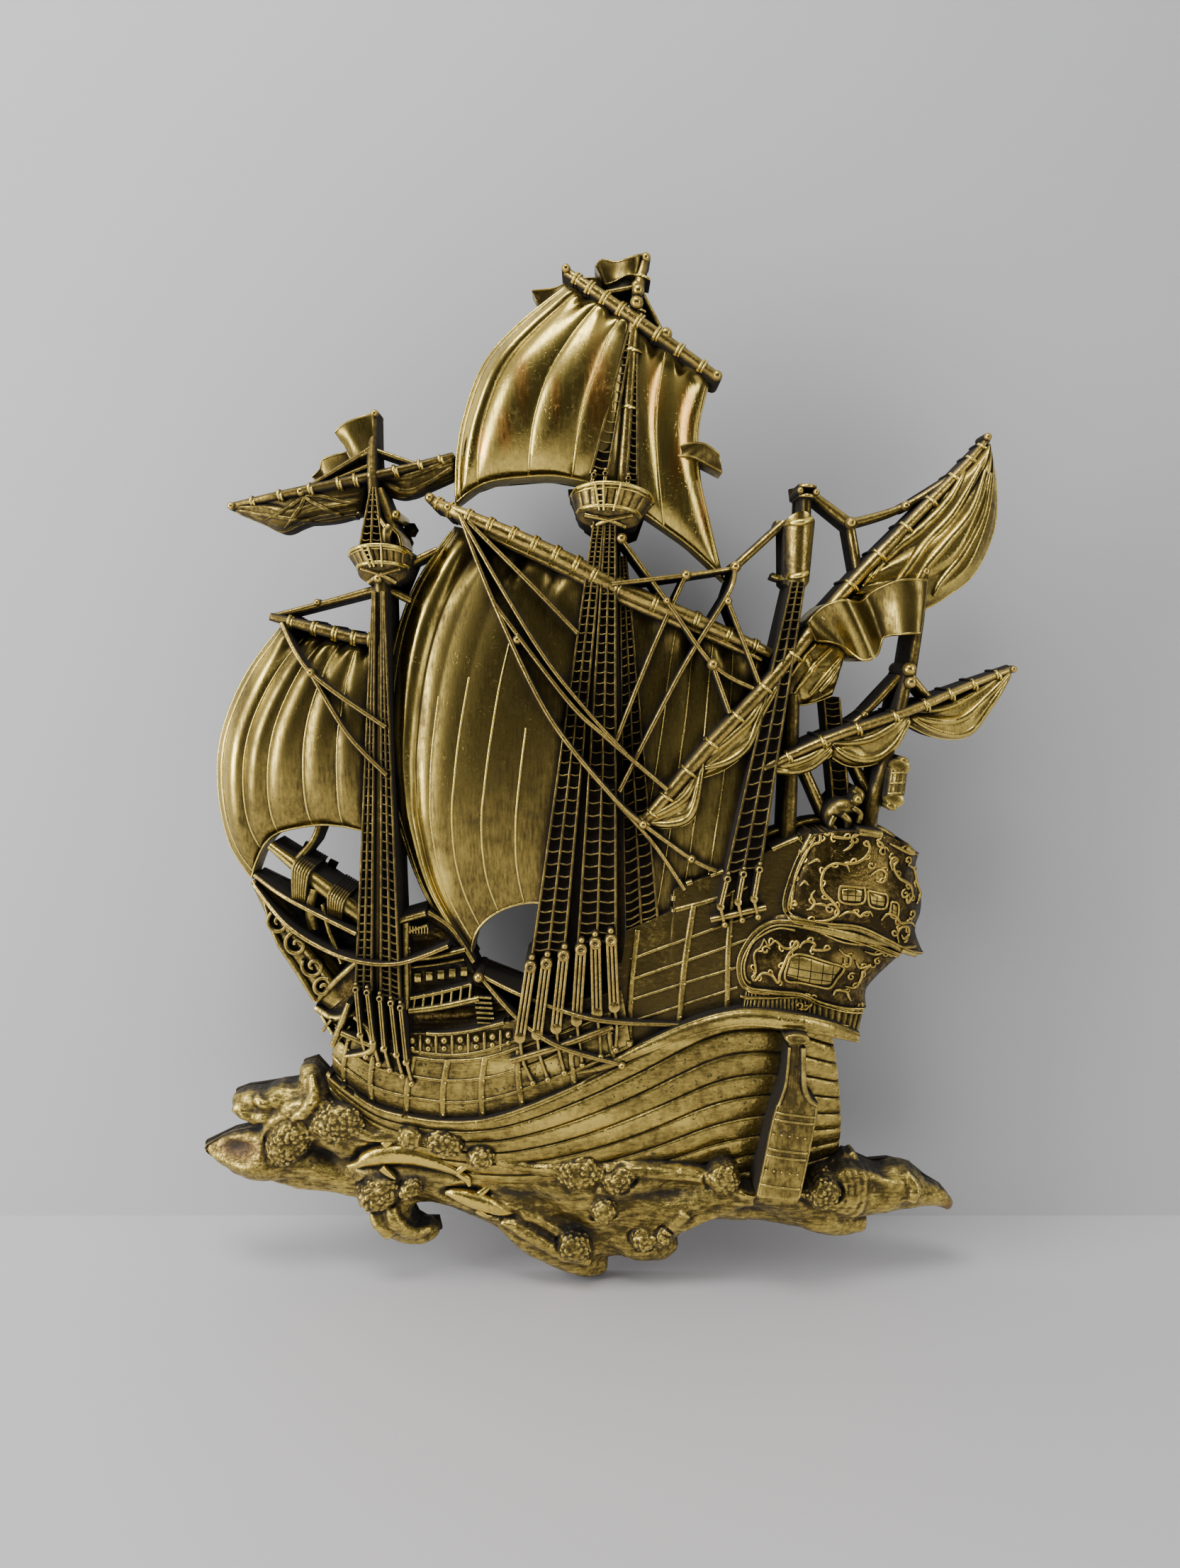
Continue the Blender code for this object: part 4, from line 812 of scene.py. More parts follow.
# The lowest wale starts like the top of the bottom planks, which then runs on to the stern.
hull = {
    "lowerWale": [(-190, -377), (-176, -385), (-157, -396), (-136, -401), (-111, -404), (-84, -402),
                  (-56, -393), (-22, -378), (16, -358), (56, -337), (80, -332), (110, -336), (143, -350)],
    "keel": [(-189, -434), (-170, -452), (-145, -462), (-118, -467), (-84, -472), (-48, -476), (-10, -476),
             (30, -471), (66, -463), (100, -458), (128, -455), (153, -448)],
    "sternEdge": [(143, -350), (149, -385), (153, -420), (153, -448)],
    "planks": 9,
    "cuts": (0, 0.05, 0.13, 0.35, 0.65, 0.87, 0.95),  # profile of one plank, seam to seam
    "rise": (-1.5, -0.3, 0.35, 0.7, 0.7, 0.35, -0.3),
    "waistTop": [(-195, -330), (-184, -338), (-172, -346), (-152, -352), (-132, -346), (-104, -345),
                 (-68, -337), (-34, -326), (4, -316)],
    "waistLow": [(-188, -380), (-174, -390), (-156, -401), (-135, -407), (-111, -410), (-84, -408),
                 (-56, -400), (-22, -385), (12, -367)],
    "waistLeft": [(-195, -330), (-184, -347), (-187, -362), (-188, -380)],
    "quarterTop": [(2, -281), (18, -274), (34, -267), (37, -265), (37, -254), (40, -251), (52, -246),
                   (70, -240), (98, -227), (124, -214)],
    "quarterLow": [(1, -370), (20, -362), (38, -353), (56, -345), (74, -340), (92, -338), (112, -339)],
    "quarterRight": [(124, -214), (114, -248), (107, -275), (103, -300), (112, -339)],
    "nails": (0.1, 0.36, 0.63, 0.9),  # places along a rib
    "wales": [  # points and width
        ([(-190, -377), (-176, -385), (-157, -396), (-136, -401), (-111, -404), (-84, -402), (-56, -393),
          (-22, -378), (16, -358), (39, -347), (56, -337)], 3.2),
        ([(-188, -364), (-172, -374), (-152, -384), (-111, -391), (-80, -388), (-50, -378), (-16, -364),
          (12, -351)], 2.6),
        ([(-184, -350), (-170, -361), (-150, -370), (-111, -376), (-80, -373), (-52, -364), (-22, -350),
          (10, -336)], 2.6),
        ([(-184, -341), (-172, -350), (-152, -358), (-132, -361), (-111, -363), (-85, -361), (-60, -353),
          (-30, -342), (2, -328)], 3.0),
        ([(-132, -357), (-106, -359), (-85, -356), (-64, -349)], 2.2),
        ([(-133, -344), (-116, -346), (-95, -344), (-68, -337)], 2.6),
        ([(2, -281), (18, -273), (36, -266), (64, -258), (84, -250)], 4.0),
        ([(37, -266), (37, -252)], 3.4),
        ([(37, -252), (52, -246), (70, -240), (98, -227), (116, -219)], 3.6),
        ([(10, -297), (44, -284), (92, -266)], 2.2),
        ([(10, -310), (44, -298), (86, -283)], 2.2),
        ([(8, -324), (44, -312), (80, -301)], 2.2),
        ([(8, -338), (44, -326), (78, -315)], 2.2),
    ],
    # head, foot and width
    "ribs": [((-173, -350), (-178, -384), 3.6), ((-156, -358), (-159, -394), 4.0),
             ((-130, -360), (-136, -401), 4.4), ((-108, -362), (-112, -404), 4.6),
             ((-84, -360), (-86, -402), 4.6), ((-62, -355), (-60, -394), 4.4),
             ((-28, -345), (-26, -380), 4.4), ((-4, -330), (0, -366), 4.4), ((14, -278), (9, -352), 4.6),
             ((50, -262), (41, -342), 4.6), ((75, -254), (72, -330), 4.2)],
    # x, z, depth, width
    "moulding": [(-30, -372, 46, 2), (-8, -366, 50, 4), (20, -352, 53, 7), (50, -339, 55, 9),
                 (80, -332, 56, 11), (112, -335, 55, 11), (136, -341, 50, 9), (158, -350, 40, 6)],
    # the moulding and the two beads beside it: shift up, share of its width, how far behind
    "mouldings": ((0, 1.0, 0), (3.6, 0.32, 1.6), (-3.8, 0.34, 1.0)),
}
balustrade = {
    "count": 13,
    "start": -131,
    "gap": 5.2,
}
rudder = {
    "line": [(114.5, -348), (114, -362), (114, -377), (116.4, -389), (113.3, -406), (109.5, -428),
             (105, -451)],
    "width": [9, 10.5, 12.5, 26, 28, 28, 28],
    "front": 56,
    "lean": 0.19,  # how far the straps and nails shift for each mm that they are lower
    "straps": (-395, -399.5, -419, -423.5, -443),
    "nailRows": (-409, -433),
    "stock": [(118.5, -350, 60, 3.4), (119, -366, 60, 3.4), (120, -377, 59.5, 3.6), (123.5, -385, 58.5, 3.4),
              (129, -389.5, 56, 2.6)],
    "bead": [(110, -350, 58.5, 2), (109, -366, 58.5, 2), (107.6, -377, 58, 2), (104, -389, 57, 2)],
    "cap": (114.5, -344),
    "capRings": [(3.6, 50), (3.6, 58.5), (3.0, 60.4), (2.0, 60.0), (1.0, 59.6), (0, 59.6)],
}


def makeBottom(piece):
    lines = patch(hull["lowerWale"], hull["keel"], right=hull["sternEdge"])
    per = len(hull["cuts"])
    rows = hull["planks"] * per

    def front(u, v):
        plank, place = divmod(round(v * rows), per)
        v = min(1.0, (plank + hull["cuts"][place]) / hull["planks"])
        x, z = lines(u, v)
        belly = 12 + 38 * swell(0.06 + 0.90 * u, 0.45)
        wander = 0.9 * noise.noise(Vector((x * 0.03, plank * 3.1, z * 0.03)))
        fall = (38 - 14 * u) * v ** (1.3 + 0.3 * u)
        return x, z, max(8.0, belly - fall + hull["rise"][place] + wander)
    piece.sheet(200, rows, front, "bottom")


def makeSides(piece):
    waist = patch(hull["waistTop"], hull["waistLow"], left=hull["waistLeft"])
    quarter = patch(hull["quarterTop"], hull["quarterLow"], right=hull["quarterRight"])

    def waistFront(u, v):
        x, z = waist(u, v)
        side = 22 + 24 * swell(0.5 * u, 0.45)
        return x, z, side + 2.5 * math.sin(math.pi * v) - 6 * v ** 6 + 0.5 * ripple(x, z, 0.06, 1, 0.06)

    def quarterFront(u, v):
        x, z = quarter(u, v)
        return x, z, 40 + 7 * v - 9 * v ** 8 + 0.5 * ripple(x, z, 0.06, 1, 0.06)
    piece.sheet(110, 32, waistFront, "waist")
    piece.sheet(60, 60, quarterFront, "quarter", finish=3)


def makeHull():
    piece = Relief("hull", 2)
    makeBottom(piece)
    makeSides(piece)
    over = ["waist", "quarter", "bottom"]
    for points, width in hull["wales"]:
        piece.rib(points, width, over=over, lift=1.5, flat=0.55, finish=1)
    for head, foot, width in hull["ribs"]:
        x, z = mix(head, foot, 0.5)
        piece.rib([head, (x - 1.5, z), foot], width, over=over, flat=0.4, finish=1)
        for share in hull["nails"]:
            x, z = mix(head, foot, share)
            piece.ball(x, z, 1.0, depthAt(over, x, z) + 2.6, 6, finish=1)
    makeBalustrade(piece, over)
    for shift, fat, back in hull["mouldings"]:
        line = [(x, z + shift * min(1, width / 9), depth - back, width * fat)
                for x, z, depth, width in hull["moulding"]]
        piece.rib(line, sides=12, flat=0.42)
    makeRudder(piece)
    piece.done([hullGold, carvedGold, webDark, quarterGold, rudderGold], 50)


def makeBalustrade(piece, over):  # dark bays with a baluster or two balls in turn
    for number in range(balustrade["count"]):
        x = balustrade["start"] + number * balustrade["gap"]
        z = -351.5 + 0.0012 * (x + 106) ** 2 + 0.06 * (x + 100)  # the rail sags and climbs to the stern
        depth = depthAt(over, x, z)
        half = balustrade["gap"] / 2
        piece.rib([(x - half, z, depth + 0.1), (x + half, z, depth + 0.1)], 13, sides=2, flat=0.02, finish=2)
        if number % 2:
            ends = [(x, z + rise, depth + 1.6, 1.4) for rise in (-6.5, 6.5)]
            piece.rib([ends[0], (x, z, depth + 2.4, 2.2), ends[1]], finish=1)
        else:
            piece.ball(x, z + 2.5, 2.4, depth + 2.8, 10, finish=1)
            piece.ball(x, z - 2.8, 2.2, depth + 2.4, 10, finish=1)


def makeRudder(piece):
    blade = [(x, z, width) for (x, z), width in zip(rudder["line"], rudder["width"])]
    topStrap = rudder["straps"][0]

    def front(u, v):
        x, z, width = along(blade, v)
        across = 2 * u - 1
        grain = 0.35 * noise.noise(Vector((x * 0.5 + across * 6, 0, z * 0.06)))
        return x + width / 2 * across, z - 1.5 * across, rudder["front"] - 3 * abs(across) ** 6 + grain
    piece.sheet(20, 60, front, "rudder", finish=4)
    for z in rudder["straps"]:
        shift = rudder["lean"] * (z - topStrap)
        strap = [(102.6 + shift, z + 1.2), (128 + shift, z - 2)]
        piece.rib(strap, 3.0, over=["rudder"], lift=0.2, sides=4, finish=2)
        piece.rib(strap, 1.7, over=["rudder"], lift=1.1, sides=4, finish=1)
    for z in rudder["nailRows"]:
        for number in range(5):
            x = 104 + number * 5 + rudder["lean"] * (z - topStrap)
            piece.ball(x, z + 1.4 - number * 0.8, 0.9, rudder["front"] + 1, 6)
    for side in (-1, 1):
        edge = [(x + side * (width / 2 - 0.9), z - 1.5 * side) for x, z, width in blade[3:]]
        piece.rib(edge, 1.6, over=["rudder"], lift=0.9, finish=1)
    piece.rib(rudder["stock"], sides=8, flat=0.6, finish=1)
    piece.rib(rudder["bead"], finish=1)
    piece.knob(*rudder["cap"], rudder["capRings"], 24, 2.2, -0.05, 10, finish=1)


# Sails

# Each sail has four edges, the depths of its corners and the swell of its belly. Its seams are shares of
# its width, with a roll of cloth between each pair; "drawn" says how far down each seam starts to show.
sails = {
    "mainsail_left": {
        "top": [(-103, -21), (-85, -27), (-66, -34), (-48, -41), (-31, -49), (-14, -57)],
        "bottom": [(-92, -309), (-93, -300), (-92, -290), (-86, -278), (-72, -267), (-52, -262),
                   (-36, -266)],
        "left": [(-103, -21), (-130, -61), (-144, -105), (-149, -160), (-146, -191), (-140, -216),
                 (-124, -260), (-92, -309)],
        "right": [(-14, -57), (-24, -140), (-32, -210), (-36, -266)],
        "corners": (18, 38, 22, 38), "belly": 15, "seams": (0.055, 0.235, 0.335, 0.48, 0.635, 0.78),
        "rolls": (1.2, 7.4, 0.4, 0.4, 0.4, 0.4, 0.3), "gathers": 4, "size": (130, 190),
        "shape": 1.0, "bulge": 0.75, "drawn": (0.02, None, 0.34, 0.30, 0.22, 0.4)},
    "mainsail_right": {
        "top": [(-20, -54), (33, -79), (62, -91), (98, -106)],
        "bottom": [(-43, -266), (0, -290), (40, -285), (78, -262)],
        "left": [(-20, -54), (-30, -140), (-38, -210), (-43, -266)],
        "right": [(98, -106), (95, -165), (88, -215), (78, -262)],
        "corners": (31, 26, 33, 30), "belly": 4, "seams": (0.2, 0.38, 0.52, 0.66, 0.78, 0.9),
        "rolls": (0.6, 0.6, 0.8, 0.8, 0.8, 0.8, 0.6), "gathers": 4, "size": (90, 120)},
    "topsail_left": {
        "top": [(-28, 129), (-18, 121), (-8, 114), (3, 106), (10, 100)],
        "bottom": [(-102, -8), (-84, 4), (-55, 8), (-30, 7), (4, -2)],
        "left": [(-28, 129), (-61, 103), (-83, 79), (-95, 50), (-101, 22), (-102, -8)],
        "right": [(10, 100), (7, 60), (5, 30), (4, -2)],
        "corners": (16, 30, 15, 28), "belly": 15, "seams": (0.06, 0.21, 0.50, 0.77),
        "rolls": (1.2, 3.4, 3.0, 3.0, 2.4), "gathers": 3, "size": (100, 110)},
    "topsail_right": {
        "top": [(7, 101), (24, 91), (42, 81), (60, 70)],
        "bottom": [(0, -3), (20, -16), (46, -34), (70, -56)],
        "left": [(7, 101), (3, 60), (1, 30), (0, -3)],
        "right": [(60, 70), (53, 40), (54, 10), (60, -16), (70, -56)],
        "corners": (27, 18, 25, 16), "belly": 8, "seams": (0.47, 0.93),
        "rolls": (3.0, 3.2, 0.8), "gathers": 3, "size": (60, 110)},
    "foresail": {
        "top": [(-216, -84), (-195, -89), (-178, -93), (-160, -97), (-146, -99)],
        "bottom": [(-239, -250), (-232, -232), (-219, -218), (-189, -212), (-165, -215), (-152, -219)],
        "left": [(-216, -84), (-240, -117), (-256, -155), (-259, -190), (-253, -225), (-239, -250)],
        "right": [(-146, -99), (-145, -140), (-147, -180), (-152, -219)],
        "corners": (15, 30, 16, 32), "belly": 16, "seams": (0.07, 0.24, 0.41, 0.56, 0.71, 0.86),
        "rolls": (1.4, 3.2, 3.2, 3.0, 3.0, 2.6, 2.0), "gathers": 5, "size": (110, 110)},
}


def panelRoll(u, kit):  # rise of the roll of cloth between two seams
    edges = (0, *kit["seams"], 1)
    for start, end, roll in zip(edges, edges[1:], kit["rolls"]):
        if start < u <= end:
            return roll * math.sin(math.pi * (u - start) / (end - start)) ** kit.get("shape", 0.7)
    return 0


def makeSail(piece, name):
    kit = sails[name]
    outline = patch(kit["top"], kit["bottom"], kit["left"], kit["right"])
    tl, tr, bl, br = kit["corners"]

    def front(u, v):
        x, z = outline(u, v)
        base = (tl * (1 - u) + tr * u) * (1 - v) + (bl * (1 - u) + br * u) * v
        full = kit["belly"] * swell(u, kit.get("bulge", 0.55)) * swell(v)
        crease = panelRoll(u, kit) * swell(v, 0.3)
        puff = 3.2 * abs(math.sin(math.pi * kit["gathers"] * u)) ** 1.5 * hump(v, 0.04, 0.05)
        sink = -2.4 * abs(math.cos(math.pi * kit["gathers"] * u)) ** 6 * hump(v, 0.0, 0.12)
        soft = 0.8 * ripple(x, z, 0.03, 5, 0.012)
        return x, z, base + full + crease + puff + sink + soft * swell(u, 0.4) * swell(v, 0.4)
    piece.sheet(*kit["size"], front, name)
    starts = kit.get("drawn", (0.02,) * len(kit["seams"]))
    lines = [([outline(u, v) for v in shares(8, start, 0.98)], 1.5, 0.6)
             for u, start in zip(kit["seams"], starts) if start is not None]
    lines.append(([outline(u, 0.988) for u in shares(10, 0.01, 0.99)], 2.0, 0.7))
    lines.append(([outline(0.012, v) for v in shares(10, 0.02, 0.98)], 2.2, 0.8))
    for line, width, lift in lines:  # seams, hem and leech
        piece.rib(line, width, over=[name], lift=lift, sides=4, step=3.0, finish=1)


def makeSails():
    courses = Relief("courses")
    for name in ("mainsail_left", "mainsail_right", "foresail"):
        makeSail(courses, name)
    courses.done([sailGold, rubbedGold])
    topsail = Relief("topsail")
    for name in ("topsail_left", "topsail_right"):
        makeSail(topsail, name)
    topsail.done([topsailGold, rubbedGold])


# Lateen sail and the furled sails

# Depths are those of the two ends; a dim sail has more patina, and size is columns and rows.
furled = {
    "mizzen_sail": {"top": [(155, -52), (180, -26), (205, 0), (236, 30)],
                    "low": [(148, -67), (170, -73), (192, -76), (213, -65), (230, -50), (241, -22), (241, 5),
                            (236, 30)],
                    "depths": (24, 16), "fat": 10, "folds": 3.3, "size": (110, 60), "foldLift": 2.6},
    "mizzen_skirt": {"top": [(113, -90), (125, -92), (138, -93), (149, -94)],
                     "low": [(107, -132), (117, -135), (128, -133), (139, -129)],
                     "depths": (26, 24), "fat": 7, "folds": 2.6, "size": (50, 40), "foldLift": 2.6},
    "fore_gallant_left": {"top": [(-241, -8), (-212, -3), (-183, 3), (-154, 9)],
                          "low": [(-243, -12), (-224, -20), (-212, -25), (-196, -19), (-161, -13)],
                          "depths": (14, 18), "fat": 9, "folds": 2.6, "size": (90, 36), "dim": True,
                          "foldLift": 1.5},
    "fore_gallant_right": {"top": [(-151, 10), (-136, 13), (-123, 16), (-102, 23)],
                           "low": [(-148, 0), (-136, -3), (-123, 1), (-102, 10)],
                           "depths": (16, 12), "fat": 7, "folds": 1.6, "size": (50, 20), "dim": True,
                           "swags": 2},
    "bunt_upper": {"top": [(107, -110), (90, -128), (74, -144), (54, -168)],
                   "low": [(98, -135), (90, -146), (84, -163), (70, -175), (54, -181)],
                   "depths": (34, 36), "fat": 8, "folds": 2.2, "size": (60, 28), "swags": 2},
    "bunt_lower": {"top": [(56, -166), (46, -178), (34, -192), (17, -207)],
                   "low": [(53, -181), (52, -200), (46, -210), (32, -213), (17, -212)],
                   "depths": (36, 36), "fat": 8, "folds": 2.2, "size": (50, 28), "swags": 2},
    "stern_left": {"top": [(94, -174), (107, -169), (122, -163), (137, -156)],
                   "low": [(96, -176), (110, -178), (124, -175), (138, -166)],
                   "depths": (34, 34), "fat": 6, "folds": 1.6, "size": (40, 16), "swags": 2},
    "stern_middle": {"top": [(135, -157), (152, -150), (168, -144), (187, -139)],
                     "low": [(138, -168), (150, -174), (167, -172), (180, -162), (188, -146)],
                     "depths": (32, 28), "fat": 7, "folds": 2.0, "size": (50, 24), "swags": 2},
    "stern_right": {"top": [(187, -139), (202, -133), (226, -124), (257, -112)],
                    "low": [(190, -148), (208, -156), (229, -156), (243, -140), (257, -115)],
                    "depths": (18, 12), "fat": 8, "folds": 2.4, "size": (60, 30), "swags": 3},
}
furledFolds = {  # folds that stand out of the furled sails, as x, z, width
    "fore_gallant_left": [
        [(-196, -4, 2.6), (-204, -9, 3.4), (-213, -15, 2.4), (-222, -18, 1)],
        [(-196, -5, 2.6), (-199, -11, 3.4), (-205, -19, 3), (-210, -23, 1)],
        [(-196, -4, 2.6), (-188, -9, 3.4), (-176, -14, 2.6), (-166, -15, 1)],
        [(-195, -3, 2.6), (-184, -4, 3), (-172, -7, 2.4), (-161, -8, 1)],
        [(-238, -12, 1.4), (-222, -15, 3), (-202, -18, 3), (-180, -17, 2.4), (-163, -13, 1.4)]],
    "mizzen_sail": [
        [(222, 17, 2), (209, -6, 5.5), (192, -24, 7), (175, -38, 6), (160, -55, 2.4)],
        [(228, 15, 2), (212, -14, 6), (194, -34, 7.5), (181, -52, 6), (171, -66, 2.4)],
        [(231, 12, 2), (222, -14, 6), (206, -34, 7.5), (193, -50, 6.5), (184, -70, 2.4)],
        [(234, 10, 2), (231, -14, 5.5), (219, -39, 7.5), (204, -58, 5), (200, -66, 2)],
        [(184, -27, 2), (172, -40, 4.5), (163, -49, 4.5), (155, -60, 2)]],
    "mizzen_skirt": [
        [(136, -99, 3), (125, -110, 5), (117, -121, 4), (113, -127, 2)],
        [(142, -105, 3), (133, -116, 5), (123, -128, 3)],
        [(141, -110, 3), (136, -118, 4), (129, -126, 2.6)],
        [(126, -96, 2.4), (117, -106, 4), (111, -116, 2)]],
}


def makeBundle(piece, name):  # one furled sail: a soft roll with its folds and its foot
    kit = furled[name]
    outline = patch(kit["top"], kit["low"])
    first, last = kit["depths"]
    deep = min(3.2, 1.2 + 0.24 * kit["fat"] ** 0.9)

    def front(u, v):
        x, z = outline(u, v)
        full = kit["fat"] * swell(v) * swell(u, 0.3)
        bend = kit["folds"] * v + 0.35 * math.sin(4 * u + 3 * v) + 0.12 * math.sin(11 * u)
        fold = deep * abs(math.sin(math.pi * bend)) ** 0.8 * swell(v, 0.35) * swell(u, 0.35)
        fold += 0.5 * math.sin(math.pi * (3.1 * bend + 2.0 * u)) * swell(v, 0.4) * swell(u, 0.4)
        gather = 1.4 * math.sin(math.pi * 9 * u) ** 2 * hump(v, 0.0, 0.14)
        return x, z, first + (last - first) * u + full + fold - gather
    cloth, foot = (2, 2) if kit.get("dim") else (0, 1)
    piece.sheet(*kit["size"], front, name, finish=cloth)
    rim = [outline(u, 0.985) for u in shares(12, 0.02, 0.98)]
    piece.rib(rim, 1.4, over=[name], lift=0.6, sides=4, step=2.5, finish=foot)
    for points in furledFolds.get(name, ()):
        piece.rib(points, over=[name], lift=kit["foldLift"], sides=8, flat=0.6, step=1.6, finish=cloth)
    swags = kit.get("swags", 0)
    for number in range(swags):  # swags that hang from the two ends of a bundle
        share = (number + 0.7) / swags
        line = []
        for u, t in zip(shares(10, 0.05, 0.95), shares(10, 0.08, 0.92)):
            v = share * (0.25 + 0.72 * swell(u + 0.05 * math.sin(5 * number), 0.6))
            line.append(outline(u, min(0.94, v)) + (1 + 5 * swell(t),))
        piece.rib(line, over=[name], lift=1.7, sides=8, flat=0.6, step=1.6, finish=cloth)


def makeFurled():
    piece = Relief("furled_sails", 3)
    for name in furled:
        makeBundle(piece, name)
    piece.done([canvasGold, rubbedGold, quarterGold, webDark])


# Masts, yards and fighting tops

spars = {
    "lines": {
        "topmast": [(18, 143.5, 24, 6), (14, 124, 30, 7), (10, 95, 38, 7), (8, 60, 38, 7), (4, 0, 38, 8)],
        "main_yard": [(-117, -6, 34, 5), (-98, -16, 46, 8), (-65, -30, 49, 10), (-32, -45, 50, 11),
                      (0, -61, 48, 11), (60, -86, 44, 9), (98, -102, 36, 6)],
        "topsail_yard": [(-31, 130, 34, 5), (-8, 114, 38, 7), (24, 92, 40, 7), (62, 68, 33, 6)],
        "fore_staff": [(-152, 48, 20, 4), (-153, 26, 28, 6), (-152, 0, 34, 6), (-150, -38, 36, 6)],
        "fore_gallant_yard": [(-244, -9, 20, 5), (-212, -3, 28, 5), (-174, 4, 31, 6), (-154, 8, 31, 6),
                              (-124, 16, 25, 5), (-103, 23, 17, 5)],
        "fore_yard": [(-218, -79, 34, 5), (-190, -86, 40, 7), (-165, -92, 42, 7), (-147, -94, 42, 7)],
        "mizzen_mast": [(120, 3, 26, 7), (120, -16, 26, 7)],
        "mizzen_lower_mast": [(113, -128, 32, 9), (113, -170, 32, 9), (112, -222, 32, 10)],
        "mizzen_yard": [(236, 33, 18, 4), (220, 15, 24, 6), (184, -21, 32, 7), (142, -65, 38, 8),
                        (98, -118, 45, 9), (58, -161, 47, 9), (26, -199, 46, 8), (15, -210, 44, 5)],
        "bonaventure_pole": [(186, -113, 32, 8), (181, -136, 36, 7), (172, -172, 36, 8), (166, -196, 34, 9),
                             (163, -216, 32, 10)],
        "bonaventure_yard": [(93, -174, 44, 5), (135, -155, 44, 6), (187, -138, 37, 6), (225, -123, 28, 5),
                             (257.5, -111.5, 19, 4)],
        "ensign_staff": [(194, -52, 34, 4), (191, -79, 38, 5), (187, -116, 34, 7)],
    },
    "mast": [(-3, -24, 44, 8), (-2, -93, 44, 7), (1, -190, 43, 7), (3, -300, 42, 8)],
    "foreMast": [(-147, -58, 40, 9), (-147, -93, 43, 7), (-149, -181, 44, 6), (-152, -272, 44, 6),
                 (-153, -316, 43, 6)],
    "headRoll": [(-92, -24, 45, 4), (-65, -36, 46, 5), (-32, -51, 46, 6), (0, -67, 45, 6), (60, -92, 41, 5),
                 (92, -106, 35, 3)],
    "dim": ("fore_gallant_yard", "fore_staff", "fore_yard", "ensign_staff", "bonaventure_pole",
            "mizzen_lower_mast", "mizzen_mast"),
    # distance between lashings
    "bands": {"main_yard": 16, "topsail_yard": 13, "fore_yard": 12, "fore_gallant_yard": 15,
              "mizzen_yard": 19, "bonaventure_yard": 20, "topmast": 30},
    # x, z, radius, depth
    "balls": [(18, 140.8, 3.2, 27), (-116, -6, 3.2, 38), (-104, -13, 3.0, 46), (62, 68, 3.4, 36),
              (-31, 131, 2.8, 37), (-152, 48, 2.6, 23), (235, 34, 2.6, 21), (256.6, -112, 2.4, 22),
              (-244, -9, 2.6, 23), (16, -210, 3, 47), (194, -51, 2.6, 37), (115, -1, 2.2, 33),
              (125, -2, 2.2, 33), (12, 110, 4.2, 41), (13, 118, 3.8, 38), (-148, -56, 3, 44),
              (185, -112, 4.5, 40), (186, -120, 4.0, 40)],
    "barrel": ([(105, -20), (112, -15), (118, -15), (125, -20)],
               [(106, -58), (111, -62), (117, -62), (122, -56)]),
    # rim and lower ring as x, z, half width, slope, bow; then the drop of the underside and the depth
    "tops": [((-2.7, -8.4, 25.5, -1.7, 7.8), (-5.0, -18.7, 19.5, -1.3, 4.0), 7.5, 38),
             ((-147.5, -42.3, 19.8, 0.4, 5.7), (-146, -50.3, 16.2, 0.2, 2.7), 9.5, 32)],
    "staves": 9,
    "hoops": ((0, 2.4, 2.6), (0.16, 1.2, 1.4), (0.92, 2.2, 2.6)),  # place down the tub, lift, width
}


def makeSpars():
    piece = Relief("spars", 1)
    for name, points in spars["lines"].items():
        piece.rib(points, sides=10, finish=3 if name in spars["dim"] else 0)
        if name in spars["bands"]:  # each lashing is two turns of rope
            piece.bands(points, spars["bands"][name], 1.9, 1.2, 1.7, finish=2)
            second = [(x + 1.9, z - 0.9, depth, width) for x, z, depth, width in points]
            piece.bands(second, spars["bands"][name], 1.5, 1.0, 1.4, finish=2)
    piece.rib(spars["mast"], sides=10, finish=1)
    piece.rib(spars["foreMast"], sides=10, finish=3)
    piece.rib(spars["headRoll"], sides=8)
    for x, z, radius, depth in spars["balls"]:
        piece.ball(x, z, radius, depth, 12)
    for rim, ring, drop, depth in spars["tops"]:
        makeTop(piece, rim, ring, drop, depth)
    barrel = patch(*spars["barrel"])
    piece.sheet(28, 30, lambda u, v: barrel(u, v) + (26 + 12 * swell(u),), "barrel")
    for z in (-19, -52):
        hoop = [(103 + 0.05 * z + 20 * t, z - 2.5 * math.sin(math.pi * t)) for t in shares(5)]
        piece.rib(hoop, 4, over=["barrel"], lift=1.8, finish=2)
    for z in (2.5, -3.5):
        piece.rib([(114.5, z, 29), (120, z - 0.6, 33), (125.5, z - 1, 29)], 2.4)
    piece.done([ropeGold, webDark, rubbedGold, netGold])


